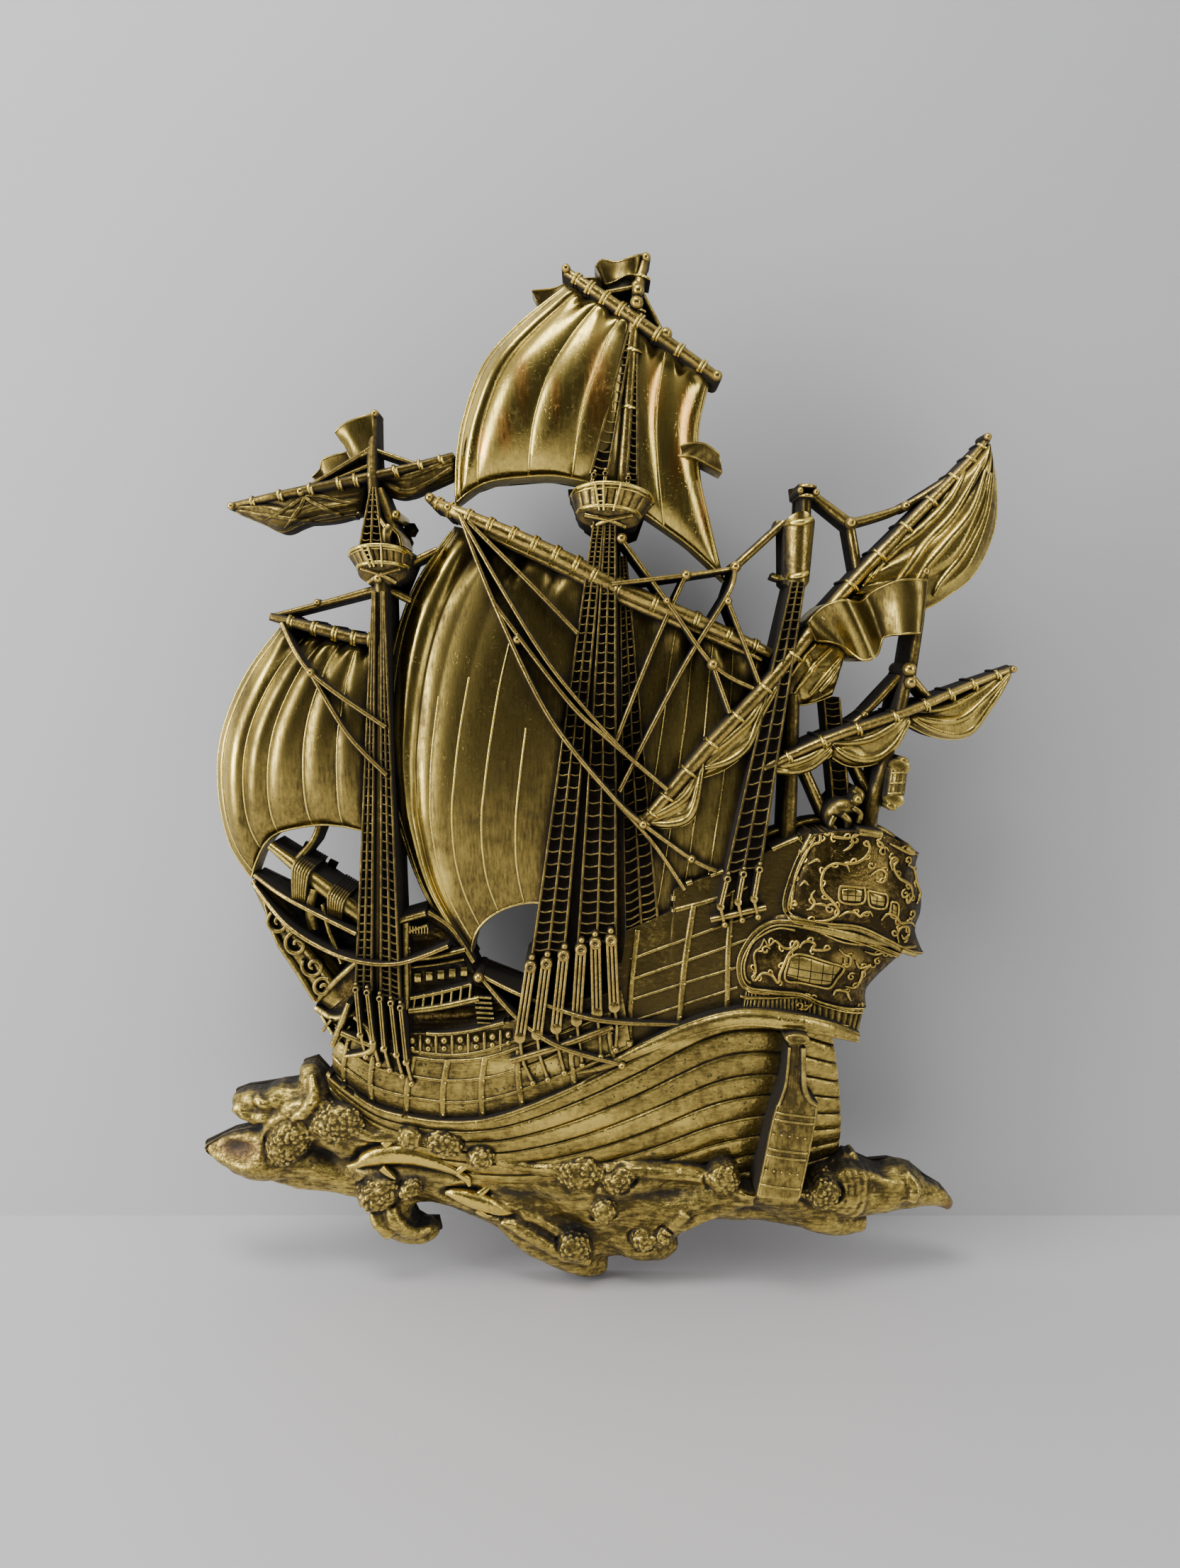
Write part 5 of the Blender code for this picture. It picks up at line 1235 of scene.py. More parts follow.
def makeTop(piece, rim, ring, drop, depth):  # round fighting top seen from below
    floor = 0.6  # share of the sheet's rows above the underside

    def level(t, across, lift=0):  # a place round the tub, from the rim at 0 to the lower ring at 1
        x, z, half, slope, bow = mix(rim, ring, t)
        out = arch(across)
        return x + half * across, z + slope * across + bow * out, depth + (19 - 3 * t) * out + lift

    def shell(u, v):
        across = 2 * u - 1
        x, z, front = level(min(1.0, v / floor), across)
        if v <= floor:
            return x, z, front + 0.8 * abs(math.sin(math.pi * spars["staves"] * u)) ** 0.4
        under = (v - floor) / (1 - floor) * arch(across)
        return x, z - under * (drop + ring[4]), front - 11 * under
    piece.sheet(spars["staves"] * 8, 20, shell)
    for t, lift, width in spars["hoops"]:
        piece.rib([level(t, across, lift) for across in shares(16, -1, 1)], width, step=1.6, finish=2)
    x, z, half = ring[:3]
    for side in (-1, 1):  # beams crossed under the floor
        beam = [(x - side * half * 0.75, z + 0.5, depth + 12), (x, z - drop * 0.35, depth + 13),
                (x + side * half * 0.55, z - drop * 0.85, depth + 7)]
        piece.rib(beam, 3.0)
    for side in (-0.42, -0.22, 0.2):  # ropes over the front
        lowX, lowZ, lowDepth = level(1, side * 0.7, 2.6)
        piece.rib([level(0, side, 3.4), (lowX, lowZ - 2, lowDepth)], 1.5, finish=2)
    for share in (0.25, 0.5, 0.75):
        left = mix(level(0, -0.42, 2.8), level(1, -0.3, 2.8), share)
        piece.rib([left, mix(level(0, -0.22, 2.8), level(1, -0.15, 2.8), share)], 1.1, sides=4)


# Rigging: nets of ropes on dark webs, deadeyes and lanyards, single ropes

rigging = {
    # head left and right, foot left and right, depth at head and foot, ropes, rung gaps at head and foot
    "nets": [
        ((-14, -22), (-8, -22), (-53, -293), (-33, -293), 46, 47, 3, 3.2, 9.0),
        ((-7, -22), (-1, -22), (-24, -289), (0, -289), 46, 47, 3, 3.2, 9.0),
        ((2, -42), (6, -42), (6, -279), (27, -270), 38, 38, 3, 3.4, 8.0),
        ((7, 93), (9.5, 93), (-16, 8), (-6, 6), 37, 38, 2, 3.6, 6.0),
        ((11, 80), (12.5, 80), (6, -2), (13, -4), 36, 37, 2, 3.2, 4.0),
        ((-151, -64), (-149.5, -64), (-166, -316), (-156, -316), 42, 47, 3, 3.2, 6.0),
        ((-145.5, -64), (-144, -64), (-150, -320), (-138, -324), 42, 47, 3, 3.2, 6.0),
        ((-152, 0), (-149, 0), (-160, -40), (-145, -40), 36, 38, 3, 3.0, 4.0),
        ((109, -58), (117, -58), (70, -241), (91, -237), 40, 47, 3, 5.0, 9.5),
        ((134, -130), (144, -130), (143, -206), (153, -206), 22, 22, 2, 5.0, 5.0),
    ],
    # sets of lanyards: head and foot of each; then the depth, the ropes in each, the width of its deadeyes,
    # the way from the foot to the end of the chain plate, and how that changes from one to the next
    "lanyards": [
        ([((-54, -299), (-61, -345)), ((-44, -297), (-50, -343)), ((-33, -292), (-38, -339)),
          ((-22, -288), (-25, -334)), ((-13, -284), (-12, -329)), ((-3, -282), (-1, -325))],
         53, 3, 7.0, (8, -31), (-1.4, 0.4)),
        ([((-165, -314), (-163, -344)), ((-158, -316), (-155, -349)), ((-150, -320), (-148, -353)),
          ((-143, -323), (-140, -357)), ((-137, -326), (-134, -362))], 51, 2, 4.0, (3, -15), (0, 0)),
        ([((70, -243), (66, -261)), ((80, -240), (77, -258)), ((90, -237), (87, -256))],
         51, 2, 4.4, (3, -12), (0, 0)),
        ([((-14, 6), (-18, -8)), ((-7, 7), (-8, -8)), ((7, 4), (6, -9))], 44, 2, 3.4, None, None),
    ],
    "ropes": [
        [(-67, -361, 54, 4), (-33, -350, 55, 4), (-2, -338, 54, 4)],
        [(60, -270, 50, 4), (95, -262, 50, 4)],
        [(-96, -18, 48), (-75, -72, 54), (-42, -140, 60), (-3, -190, 57), (17, -209, 50)],
        [(-75, -72, 54), (-30, -131, 60), (-6, -154, 57), (32, -187, 50)],
        [(-91, -22, 48), (-52, -61, 54), (-24, -90, 52)],
        [(-96, -18, 48, 2.4), (-72, -60, 55, 2.4), (-44, -105, 60, 2.4), (-18, -138, 58, 2.4),
         (6, -164, 57, 2.4)],
        [(-3, -60, 54), (43, -54, 44), (74, -49, 32)],
        [(3, -32, 46), (31, -70, 48), (60, -109, 46), (86, -124, 42)],
        [(60, -109, 46), (71, -139, 46)],
        [(42, -56, 44), (22, -101, 46), (0, -156, 50)],
        [(75, -47, 32), (69, -66, 46), (40, -114, 46), (2, -188, 50)],
        [(69, -70, 46), (90, -121, 42)],
        [(17, -209, 50), (48, -232, 44), (64, -240, 42)],
        [(0, -194, 54), (24, -222, 46), (44, -252, 42)],
        [(106, -20, 28, 5), (74, -49, 30, 5)],
        [(124, -1, 20, 6), (149, -20, 22, 7)],
        [(149, -20, 22, 6), (184, -9, 20, 5), (220, 14, 20, 4)],
        [(149, -20, 22, 6), (155, -50, 22, 6)],
        [(14, 123, 26), (30, 92, 30)],
        [(-6, 118, 32), (12, 122, 30)],
        [(-89, -308, 38), (-59, -320, 48), (-15, -332, 58), (28, -338, 50), (50, -339, 48)],
        [(-89, -308, 38), (-64, -333, 50), (-36, -350, 58), (4, -364, 52)],
        [(-153, 26, 28), (-197, 0, 26)],
        [(-152, 16, 28), (-195, -1, 26)],
        [(-151, 25, 24), (-122, 15, 24)],
        [(-149, 0, 32, 6), (-136, -34, 34, 6)],
        [(-150, -61, 30, 5), (-184, -70, 28, 4), (-219, -79, 28, 4)],
        [(-144, -62, 26, 5), (-128, -70, 22, 5)],
        [(-132, -45, 22, 5), (-114, -36, 20, 4)],
        [(-210, -83, 38), (-190, -114, 48), (-144, -148, 48)],
        [(-190, -114, 48), (-168, -152, 48), (-144, -178, 48)],
        [(-236, -246, 24), (-210, -259, 39), (-165, -279, 50)],
        [(-236, -252, 26), (-213, -274, 40), (-190, -288, 46), (-164, -296, 53), (-137, -298, 50),
         (-107, -288, 46)],
        [(182, -117, 28, 5), (160, -141, 26, 4), (138, -156, 30, 4)],
        [(190, -117, 26, 5), (203, -132, 24, 5)],
        [(121, -172, 22, 6), (139, -211, 22, 7)],
        [(155, -172, 24, 5), (168, -198, 26, 6)],
    ],
    # x, z, radius, depth
    "blocks": [(-88, -309, 3.4, 46), (-61, -94, 3.0, 57), (60, -109, 3.6, 50), (43, -54, 3.2, 47),
               (149, -20, 4.2, 27), (75, -48, 3.6, 36), (31, -70, 2.4, 50), (-198, -1, 3.0, 30),
               (-190, -114, 2.8, 50), (184, -9, 3.2, 24), (3, -32, 3.4, 49), (17, -209, 3.0, 52),
               (48, -232, 2.8, 46), (-189, -70, 2.4, 31), (30, 92, 4.0, 40), (12, 122, 3.0, 34),
               (160, -141, 2.6, 29), (4, -364, 2.6, 55), (69, -70, 2.6, 48)],
    # dark boards behind the ropes, dark web that also paints the shade between them: top and low line, depth
    "shades": [([(-10, -26), (-5, -26)], [(-36, -291), (-20, -291)], 43),
               ([(-2, -44), (4, -44)], [(-3, -286), (10, -276)], 37),
               ([(-150, -74), (-145, -74)], [(-158, -316), (-148, -318)], 43),
               ([(-53, -286), (-36, -284), (-18, -282), (7, -275)],
                [(-60, -336), (-36, -330), (-14, -322), (8, -312)], 38)],
    "sag": 1.1,
}


def makeNet(piece, net):
    headLeft, headRight, footLeft, footRight, high, low, ropes, near, far = net
    span = patch([headLeft, headRight], [footLeft, footRight])
    tall = headLeft[1] - footLeft[1]

    def level(v, lift):
        return high + (low - high) * v + lift
    piece.sheet(6, 60, lambda u, v: span(u, v) + (level(v, -1.2),), finish=1)
    for u in shares(ropes - 1):
        line = [span(u, v) + (level(v, 1.6), 1.3 + 0.7 * v) for v in shares(8)]
        piece.rib(line, step=3.0)
    drop = near
    while drop < tall - 2:
        v = drop / tall
        cells = shares(ropes - 1)
        for a, b in zip(cells, cells[1:]):
            left, right = span(a, v) + (level(v, 0.9),), span(b, v) + (level(v, 0.9),)
            wide = right[0] - left[0]
            x, z = span((a + b) / 2, v)
            sag = (x, z - min(rigging["sag"], wide * 0.16), level(v, 1.1))
            piece.rib([left, sag, right], 0.7 + 0.5 * v, sides=4, step=wide / 4)
        drop += near + (far - near) * v


def makeLanyard(piece, head, foot, depth, bars, fat, chain):  # two deadeyes with the ropes between them
    run = heading(head, foot)
    rings = [(fat * 0.58, depth - 2), (fat * 0.54, depth + 1.6), (fat * 0.36, depth + 2.6),
             (fat * 0.2, depth + 1.8), (0, depth + 1.0)]
    piece.knob(*head, rings, 14, steps=8)
    piece.ball(head[0] - run.x * fat * 0.8, head[1] - run.y * fat * 0.8, fat * 0.3, depth + 1, 10)
    for bar in range(bars):
        shift = (bar - (bars - 1) / 2) * fat * 0.36
        ends = [(x - run.y * shift, z + run.x * shift, depth + 1.4) for x, z in (head, foot)]
        piece.rib([ends[0], mix(ends[0], ends[1], 0.5), ends[1]], fat * 0.28, step=6)
    piece.rib([head + (depth - 0.6,), foot + (depth - 0.6,)], fat, sides=4, step=8, finish=1)
    piece.knob(*foot, [(fat * 0.55, depth - 2), (fat * 0.5, depth + 1.4), (0, depth + 2.2)])
    if chain:
        bend = (foot[0] + 1 + fat * 0.1, (foot[1] + chain[1]) / 2, depth - 0.5)
        piece.rib([foot + (depth,), bend, chain + (depth - 2,)], 2.2, step=3)
        piece.ball(*chain, 2.1, depth + 0.6, 10)


def makeRigging():
    piece = Relief("nets", 1)
    for net in rigging["nets"]:
        makeNet(piece, net)
    # dark web behind the ropes, which also paints the shade that falls between them
    for top, low, depth in rigging["shades"]:
        board = patch(top, low)
        piece.sheet(4, 60, lambda u, v: board(u, v) + (depth,), finish=1)
    piece.done([netGold, webDark])
    piece = Relief("ropes", 1)
    for pairs, depth, bars, fat, plate, fan in rigging["lanyards"]:
        for number, (head, foot) in enumerate(pairs):
            chain = plate and tuple(a + b + c * number for a, b, c in zip(foot, plate, fan))
            makeLanyard(piece, head, foot, depth, bars, fat, chain)
    for points in rigging["ropes"]:
        piece.rib(points, 2.8, sides=8)
    for x, z, radius, depth in rigging["blocks"]:
        piece.ball(x, z, radius, depth, 12)
    piece.done([ropeGold, webDark])


# Stern galleries with their scrollwork

stern = {
    # the two galleries and the skirt under them: top, low, left and right edge
    "upper": ([(123, -216), (140, -213), (160, -214), (177, -219), (190, -228), (198, -231)],
              [(112, -270), (134, -273), (153, -276), (172, -285), (190, -294), (203, -298)],
              [(123, -216), (114, -240), (109, -258), (112, -270)],
              [(198, -231), (196, -240), (200, -258), (200, -270), (197, -282), (203, -298)]),
    "lower": ([(101, -268), (118, -267), (134, -270), (153, -275), (172, -285), (190, -296)],
              [(82, -316), (98, -318), (116, -319), (131, -325), (148, -331), (166, -334)],
              [(101, -268), (88, -279), (80, -294), (79, -306), (82, -316)],
              [(190, -296), (176, -309), (167, -319), (165, -326), (166, -334)]),
    "skirt": ([(84, -311), (104, -312), (128, -319), (164, -330)],
              [(80, -336), (104, -337), (128, -342), (158, -352)]),
    "flutes": 26,
    # resting figure on the cornice: back, arms and legs
    "figure": [[(139, -210, 34, 8), (139, -204, 40, 11), (144, -200, 42, 12), (151, -199, 41, 8)],
               [(150, -199, 43, 4), (155, -203, 43, 3.4), (154, -209, 42, 3)],
               [(143, -203, 46, 4), (147, -207, 46, 4), (147, -212, 43, 3)],
               [(139, -205, 42, 4), (137, -210, 42, 4), (140, -213, 41, 3)],
               [(151, -197, 40, 6), (156, -192, 38, 6), (152, -188, 36, 5)]],
    "cornice": [(98, -221), (114, -216), (132, -211), (156, -214), (176, -218), (190, -229)],
    "frames": [  # points and width
        ([(124, -216), (114, -238), (108, -260), (112, -269), (120, -271), (134, -273), (153, -275),
          (172, -284), (188, -293), (202, -298)], 4.4),
        ([(186, -298), (160, -286), (134, -277), (114, -272), (98, -273), (86, -283), (79, -299),
          (83, -314), (100, -317), (118, -319), (132, -326), (150, -332), (164, -334)], 4.0),
        ([(113, -276), (104, -275), (96, -278), (88, -284), (84, -292), (82, -300), (83, -308), (86, -311)],
         1.8),
        ([(116, -274), (126, -276), (136, -281), (146, -285), (162, -288), (176, -289), (195, -291)], 2.2),
        ([(77, -330), (89, -330), (103, -331), (117, -333), (129, -336), (139, -340), (151, -344)], 4.0),
        ([(80, -321), (100, -321), (119, -322), (137, -328), (154, -334)], 2.4),
    ],
    "scrolls": [
        [(115, -269), (110, -267), (111, -263), (112, -254), (114, -242), (119, -229), (124, -222),
         (128, -220), (128, -215), (123, -212), (118, -214), (116, -218), (119, -222)],
        [(114, -268), (122, -270), (132, -270), (138, -267), (140, -263), (136, -257), (130, -251),
         (129, -244), (131, -237), (137, -233), (144, -234), (146, -238)],
        [(139, -233), (145, -233), (151, -232), (156, -229), (159, -224), (157, -219), (155, -221)],
        [(130, -214), (132, -211), (136, -212), (136, -216), (141, -217), (147, -217), (152, -215)],
        [(146, -219), (148, -220), (146, -223), (142, -225)],
        [(157, -215), (163, -215), (166, -217), (164, -219), (167, -221), (169, -225)],
        [(174, -238), (173, -233), (175, -230), (178, -232), (175, -236), (179, -243), (185, -247),
         (189, -251), (189, -257), (186, -260), (185, -256), (188, -254)],
        [(172, -221), (178, -224), (184, -227), (189, -229), (193, -227), (194, -231)],
        [(181, -286), (180, -280), (183, -276), (188, -277), (189, -282), (185, -284), (183, -281)],
        [(121, -234), (126, -231), (128, -232)], [(116, -248), (119, -245), (121, -247)],
        [(120, -263), (123, -262), (125, -258), (123, -254), (125, -250)],
        [(124, -259), (130, -259), (134, -261)],
        [(140, -267), (145, -264), (150, -264), (154, -267), (156, -265), (160, -264), (162, -267)],
        [(94, -282), (97, -286), (101, -283), (106, -287), (111, -287), (114, -283), (115, -286),
         (110, -290), (107, -296), (104, -304), (103, -310), (99, -305), (93, -304), (89, -309), (87, -307),
         (89, -303), (88, -292), (92, -287), (94, -282)],
        [(116, -287), (118, -284), (122, -283), (126, -285), (124, -288), (129, -289), (133, -289),
         (136, -288), (134, -286)],
        [(142, -289), (146, -293), (150, -295), (150, -300), (147, -301), (146, -296)],
        [(154, -298), (157, -303), (162, -303), (165, -302), (160, -306), (159, -312), (155, -317),
         (148, -315)],
        [(140, -320), (142, -317), (149, -319), (151, -323), (153, -326)],
        [(119, -318), (122, -323), (125, -321), (127, -325), (124, -329), (121, -330), (117, -329)],
        [(168, -270), (172, -266), (178, -268), (182, -273), (190, -274), (196, -280)],
        [(160, -240), (166, -237), (170, -240), (168, -245), (163, -244)],
        [(186, -236), (192, -240), (194, -248), (197, -256), (194, -262)],
        [(160, -292), (168, -295), (174, -294), (180, -298)],
    ],
    # x, z, radius, start of the turn, hand
    "curls": [(133, -214, 3.0, 0.5, 1), (150, -218, 3.2, 1.0, 1), (168, -226, 3.4, 0.2, 1),
              (186, -233, 3.0, 5.0, 1), (119, -228, 3.0, 1.2, 1), (114, -244, 2.8, 4.4, -1),
              (113, -260, 3.0, 4.6, -1), (135, -262, 3.6, 0.8, 1), (160, -234, 2.8, 0.4, -1),
              (184, -254, 3.2, 1.6, 1), (190, -268, 3.2, 4.0, 1), (178, -279, 2.8, 0.4, -1),
              (95, -289, 2.8, 0.4, 1), (152, -309, 3.0, 0.8, 1), (170, -300, 2.6, 1.4, 1),
              (122, -321, 3.0, 0.6, 1), (118, -327, 2.6, 4.8, 1)],
    "glass": [
        [(140, -248), (142, -247), (153, -248), (156, -249), (155, -258), (141, -257), (140, -248)],
        [(158, -250), (166, -252), (171, -254), (170, -262), (160, -260), (158, -250)],
        [(174, -258), (179, -260), (179, -269), (174, -267), (174, -258)],
        [(110, -293), (115, -291), (121, -292), (129, -295), (137, -298), (145, -301), (146, -304),
         (142, -309), (137, -315), (128, -313), (117, -310), (109, -309), (107, -304), (110, -293)],
    ],
    "panes": [([(141, -249), (148, -248), (155, -250)], [(142, -256.5), (148, -257), (154, -257.5)]),
              ([(159, -251), (165, -252.5), (170, -254.5)], [(160.5, -259), (165, -260), (169.5, -261.5)]),
              ([(175, -259), (178.5, -261)], [(175, -266), (178.5, -268)]),
              ([(111, -292.5), (121, -293), (132, -297), (144, -301.5)],
               [(108.5, -305), (117, -309), (128, -312), (138, -313)])],
    # leaf that swells between the two galleries
    "tongue": [(118, -273, 2), (132, -275.5, 4.5), (147, -279.5, 7.5), (160, -283, 8), (174, -287, 6),
               (194, -295, 2)],
    "lattice": [((142, -252.5), (155, -253.5)), ((145, -248), (145, -257)), ((150, -248), (150, -257.5)),
                ((159, -256), (170, -258)), ((164, -251), (164, -261)), ((174.5, -263), (179, -265)),
                ((109, -299), (144, -307)), ((108, -304), (140, -311)), ((116, -292), (115, -309)),
                ((124, -293), (123, -311)), ((132, -296), (131, -313)), ((139, -299), (138, -313))],
    # small leaf beside a scroll: ahead, off to the side, width
    "barb": ((0.8, 1.3, 1.8), (2.3, 2.4, 1.9), (3.9, 2.1, 1.5), (3.7, 1.0, 0.9)),
    "barbGap": 8,
}
lantern = {
    "glass": ([(172, -174), (185, -172)], [(170, -193), (183, -191)]),
    "hoops": (-177, -183.5, -190),
    "caps": ((181, -169, 0.5), (179, -173, 1.05), (176, -194, 1.0), (174, -198, 0.6)),  # x, z, size
    "capRings": [(4.5, 34), (4.5, 44), (3.0, 45.5), (0, 46)],
    "bracket": [(171, -192, 32, 7), (166, -203, 32, 8), (163, -217, 32, 14)],
}


def curl(x, z, radius, turns, start, hand=1):  # spiral line
    line = []
    for share in shares(12):
        angle = start + hand * 2 * math.pi * turns * share
        reach = radius * (1 - 0.85 * share)
        line.append((x + reach * math.cos(angle), z + reach * math.sin(angle)))
    return line


def beside(points, shift):  # the same line moved sideways
    moved = []
    last = len(points) - 1
    for number, (x, z) in enumerate(points):
        run = heading(points[max(number - 1, 0)], points[min(number + 1, last)])
        moved.append((x - run.y * shift, z + run.x * shift))
    return moved


def leaf(piece, points, over):  # scroll with small leaves that curl off it in turn
    fat = [(x, z, 0.8 + 1.5 * swell(t, 0.6)) for t, (x, z) in zip(shares(len(points) - 1), points)]
    piece.rib(fat, over=over, lift=1.7, step=1.1, flat=0.6, finish=2)
    steps = round(lineLength(points) / stern["barbGap"])
    for number in range(1, steps):
        x, z = along(points, (number - 0.15) / steps)
        run = heading((x, z), along(points, (number + 0.15) / steps))
        out = Vector((-run.y, run.x)) if number % 2 else Vector((run.y, -run.x))
        barb = [(x, z, 1.3)]
        for ahead, off, width in stern["barb"]:
            barb.append((x + run.x * ahead + out.x * off, z + run.y * ahead + out.y * off, width))
        piece.rib(barb, over=over, lift=1.0, sides=4, step=0.9, flat=0.6, finish=2)


def makePane(piece, name, top, low, over):
    outline = patch(top, low)

    def front(u, v):
        x, z = outline(u, v)
        return x, z, depthAt(over, x, z) + 0.2 + 1.6 * swell(u) * swell(v)
    piece.sheet(16, 12, front, name, finish=3)


def makeGalleries(piece):
    upper, lower, skirt = (patch(*stern[name]) for name in ("upper", "lower", "skirt"))

    def upperFront(u, v):
        return upper(u, v) + (43 - 20 * u * u + 14 * swell(u, 0.7) * swell(0.15 + 0.7 * v, 0.6),)

    def lowerFront(u, v):
        return lower(u, v) + (42 - 17 * u * u + 13 * swell(u, 0.7) * swell(0.1 + 0.8 * v, 0.6),)

    def skirtFront(u, v):
        flute = 1.1 * abs(math.sin(math.pi * stern["flutes"] * u)) * swell(v, 0.3)
        return skirt(u, v) + (45 + 4 * v - 16 * u * u + flute,)
    piece.sheet(70, 60, upperFront, "upper_gallery", finish=1)
    piece.sheet(80, 44, lowerFront, "lower_gallery", finish=1)
    piece.sheet(stern["flutes"] * 8, 12, skirtFront, "fluted_skirt")


def makeCarving(piece, over):  # cornice, frames, scrolls and glass on the galleries
    piece.rib(stern["cornice"], 5.0, over=over, lift=3.0, sides=8)
    for points, width in stern["frames"]:
        piece.rib(points, width, over=over, lift=0.8 + width * 0.3, sides=8)
        for shift in (-0.34, 0.34) if width > 3 else (0,):
            bead = beside(points, width * shift)
            piece.rib(bead, max(1.2, width * 0.28), over=over, lift=1.5 + width * 0.3, finish=2)
    piece.rib(stern["tongue"], over=over, lift=3.6, sides=10, flat=0.4, finish=3)
    for points in stern["scrolls"]:
        leaf(piece, points, over)
    for x, z, radius, start, hand in stern["curls"]:
        line = [point + (0.7 + swell(t),) for point, t in
                zip(curl(x, z, radius, 1.1, start, hand), shares(12, 0.1, 0.9))]
        piece.rib(line, over=over, lift=1.4, step=1.0, finish=2)
    for points in stern["glass"]:
        piece.rib(points, 1.5, over=over, lift=1.6, step=1.2, finish=2)
    panes = ["pane" + str(number) for number in range(len(stern["panes"]))]
    for name, (top, low) in zip(panes, stern["panes"]):
        makePane(piece, name, top, low, over)
    for ends in stern["lattice"]:
        piece.rib(ends, 0.55, over=over + panes, lift=0.25, sides=4, step=1.5, flat=0.3, finish=4)


def makeLantern(piece):
    for x, z, fat in lantern["caps"]:
        rings = [(radius * fat, depth) for radius, depth in lantern["capRings"]]
        piece.knob(x, z, rings, 14, 1.3, -0.2, 5)
    glass = patch(*lantern["glass"])
    piece.sheet(48, 20, lambda u, v: glass(u, v) + (36 + 9 * swell(u) + 0.7 * abs(math.sin(12 * u)),),
                "lantern")
    for z in lantern["hoops"]:
        lean = (z + 190) * 0.12
        piece.rib([(171.5 + lean, z), (184.5 + lean, z + 1.5)], 1.6, over=["lantern"], lift=0.9)
    piece.rib(lantern["bracket"], sides=10)


def makeStern():
    piece = Relief("stern", 4)
    makeGalleries(piece)
    makeCarving(piece, ["upper_gallery", "lower_gallery", "fluted_skirt", "quarter"])
    for points in stern["figure"]:
        piece.rib(points, sides=10, flat=0.42, step=1.2)
    piece.ball(153, -194, 3.6, 45, 14, 0.9)
    makeLantern(piece)
    piece.done([carvedGold, recessDark, scrollGold, canvasGold, webDark])


# Forecastle, bow platform, beak and anchor

bow = {
    # wall of the cabin: top, low, left and right edge
    "wall": ([(-138, -272), (-122, -268), (-106, -279), (-92, -302)],
             [(-136, -346), (-116, -347), (-95, -345), (-68, -337)],
             [(-138, -272), (-136, -346)], [(-92, -302), (-84, -318), (-68, -337)]),
    "deck": ([(-197, -332), (-182, -314), (-167, -299), (-150, -290), (-132, -290)],
             [(-190, -350), (-176, -356), (-160, -360), (-145, -358), (-132, -352)]),
    "beak": [(-238, -250, 18, 6), (-222, -272, 24, 16), (-208, -294, 28, 22), (-194, -312, 30, 26),
             (-180, -328, 32, 24)],
    "posts": [[(-135, -274, 40, 4.5), (-135, -300, 42, 4), (-135, -330, 43, 4.5)],
              [(-133, -331, 45, 4), (-113, -328, 46, 4), (-88, -323, 44, 4)],
              [(-132, -323, 43, 2.4), (-113, -319, 44, 2.4), (-93, -314, 42, 2.4)],
              [(-137, -298, 41, 3.4), (-116, -296, 41, 3.4), (-97, -292, 39, 3)],
              [(-139, -273, 40, 4), (-122, -268, 40, 4)], [(-136, -281, 39, 2), (-121, -276, 39, 2)],
              [(-121, -268, 36, 3), (-106, -279, 36, 3), (-92, -301, 36, 3)],
              [(-134, -304, 37, 2), (-116, -302, 37, 2), (-98, -299, 36, 2)],
              [(-196, -329, 30, 3.6), (-181, -313, 39, 4), (-167, -300, 43, 4)],
              [(-197, -333, 30, 4.5), (-183, -338, 38, 4.5), (-168, -333, 42, 4), (-158, -330, 42, 3)],
              [(-192, -212, 26, 4), (-197, -224, 28, 4), (-207, -236, 34, 5)],
              [(-194, -252, 40, 7), (-197, -264, 38, 7), (-196, -280, 34, 6)],
              [(-188, -262, 40, 3), (-184, -280, 40, 3), (-176, -300, 42, 3)],
              [(-171, -325, 47, 3.6), (-176, -338, 47, 4.6), (-183, -354, 45, 3.6)],
              [(-176, -344, 49, 3.4), (-156, -352, 51, 3.4)],
              [(-168, -334, 47, 2), (-158, -342, 51, 4), (-155, -352, 53, 4.4), (-161, -357, 51, 4),
               (-174, -360, 47, 2)],
              [(-181, -342, 42, 2.2), (-171, -350, 44, 2.2)], [(-171, -341, 44, 2.2), (-180, -351, 42, 2.2)],
              [(-192, -337, 34, 2.2), (-184, -347, 40, 2.2)], [(-184, -338, 40, 2.2), (-191, -347, 36, 2.2)],
              [(-238, -250, 20, 4), (-220, -272, 28, 6), (-200, -296, 32, 6), (-184, -316, 36, 6)],
              [(-232, -256, 22, 3), (-222, -286, 28, 4), (-208, -308, 30, 5), (-196, -328, 32, 4)]],
    "bowsprit": [(-223, -225, 33, 5), (-204, -239, 38, 8), (-184, -254, 42, 10), (-160, -272, 44, 11)],
    # x, z, radius, depth, start of the turn
    "curls": [(-219, -276, 8, 30, 2.2), (-207, -290, 9, 33, 1.2), (-196, -304, 8, 35, 2.6),
              (-190, -318, 7, 36, 1.0)],
    "lashings": [(-200, -240, -204, -262), (-178, -258, -181, -275)],  # x and z above, x and z at the beak
    # rows of short bars: count, first bar from end to end, step to the next, width, sides, flatness
    "rows": [
        (7, [(-130, -329, 44), (-129, -321, 43)], [(6, 0.9), (6, 1.3)], 1.5, 6, 0.5),
        (5, [(-130, -311, 37), (-126, -311, 37)], [(7.5, 1), (7.5, 1)], 6, 4, 0.1),
        (9, [(-136, -276, 39), (-136, -281, 39)], [(1.9, -0.1), (1.9, 0)], 0.9, 4, 0.5),
        (6, [(-91, -322, 43), (-80, -323, 42)], [(0.4, -3.4), (0.4, -3.4)], 1.6, 6, 0.5),
    ],
}


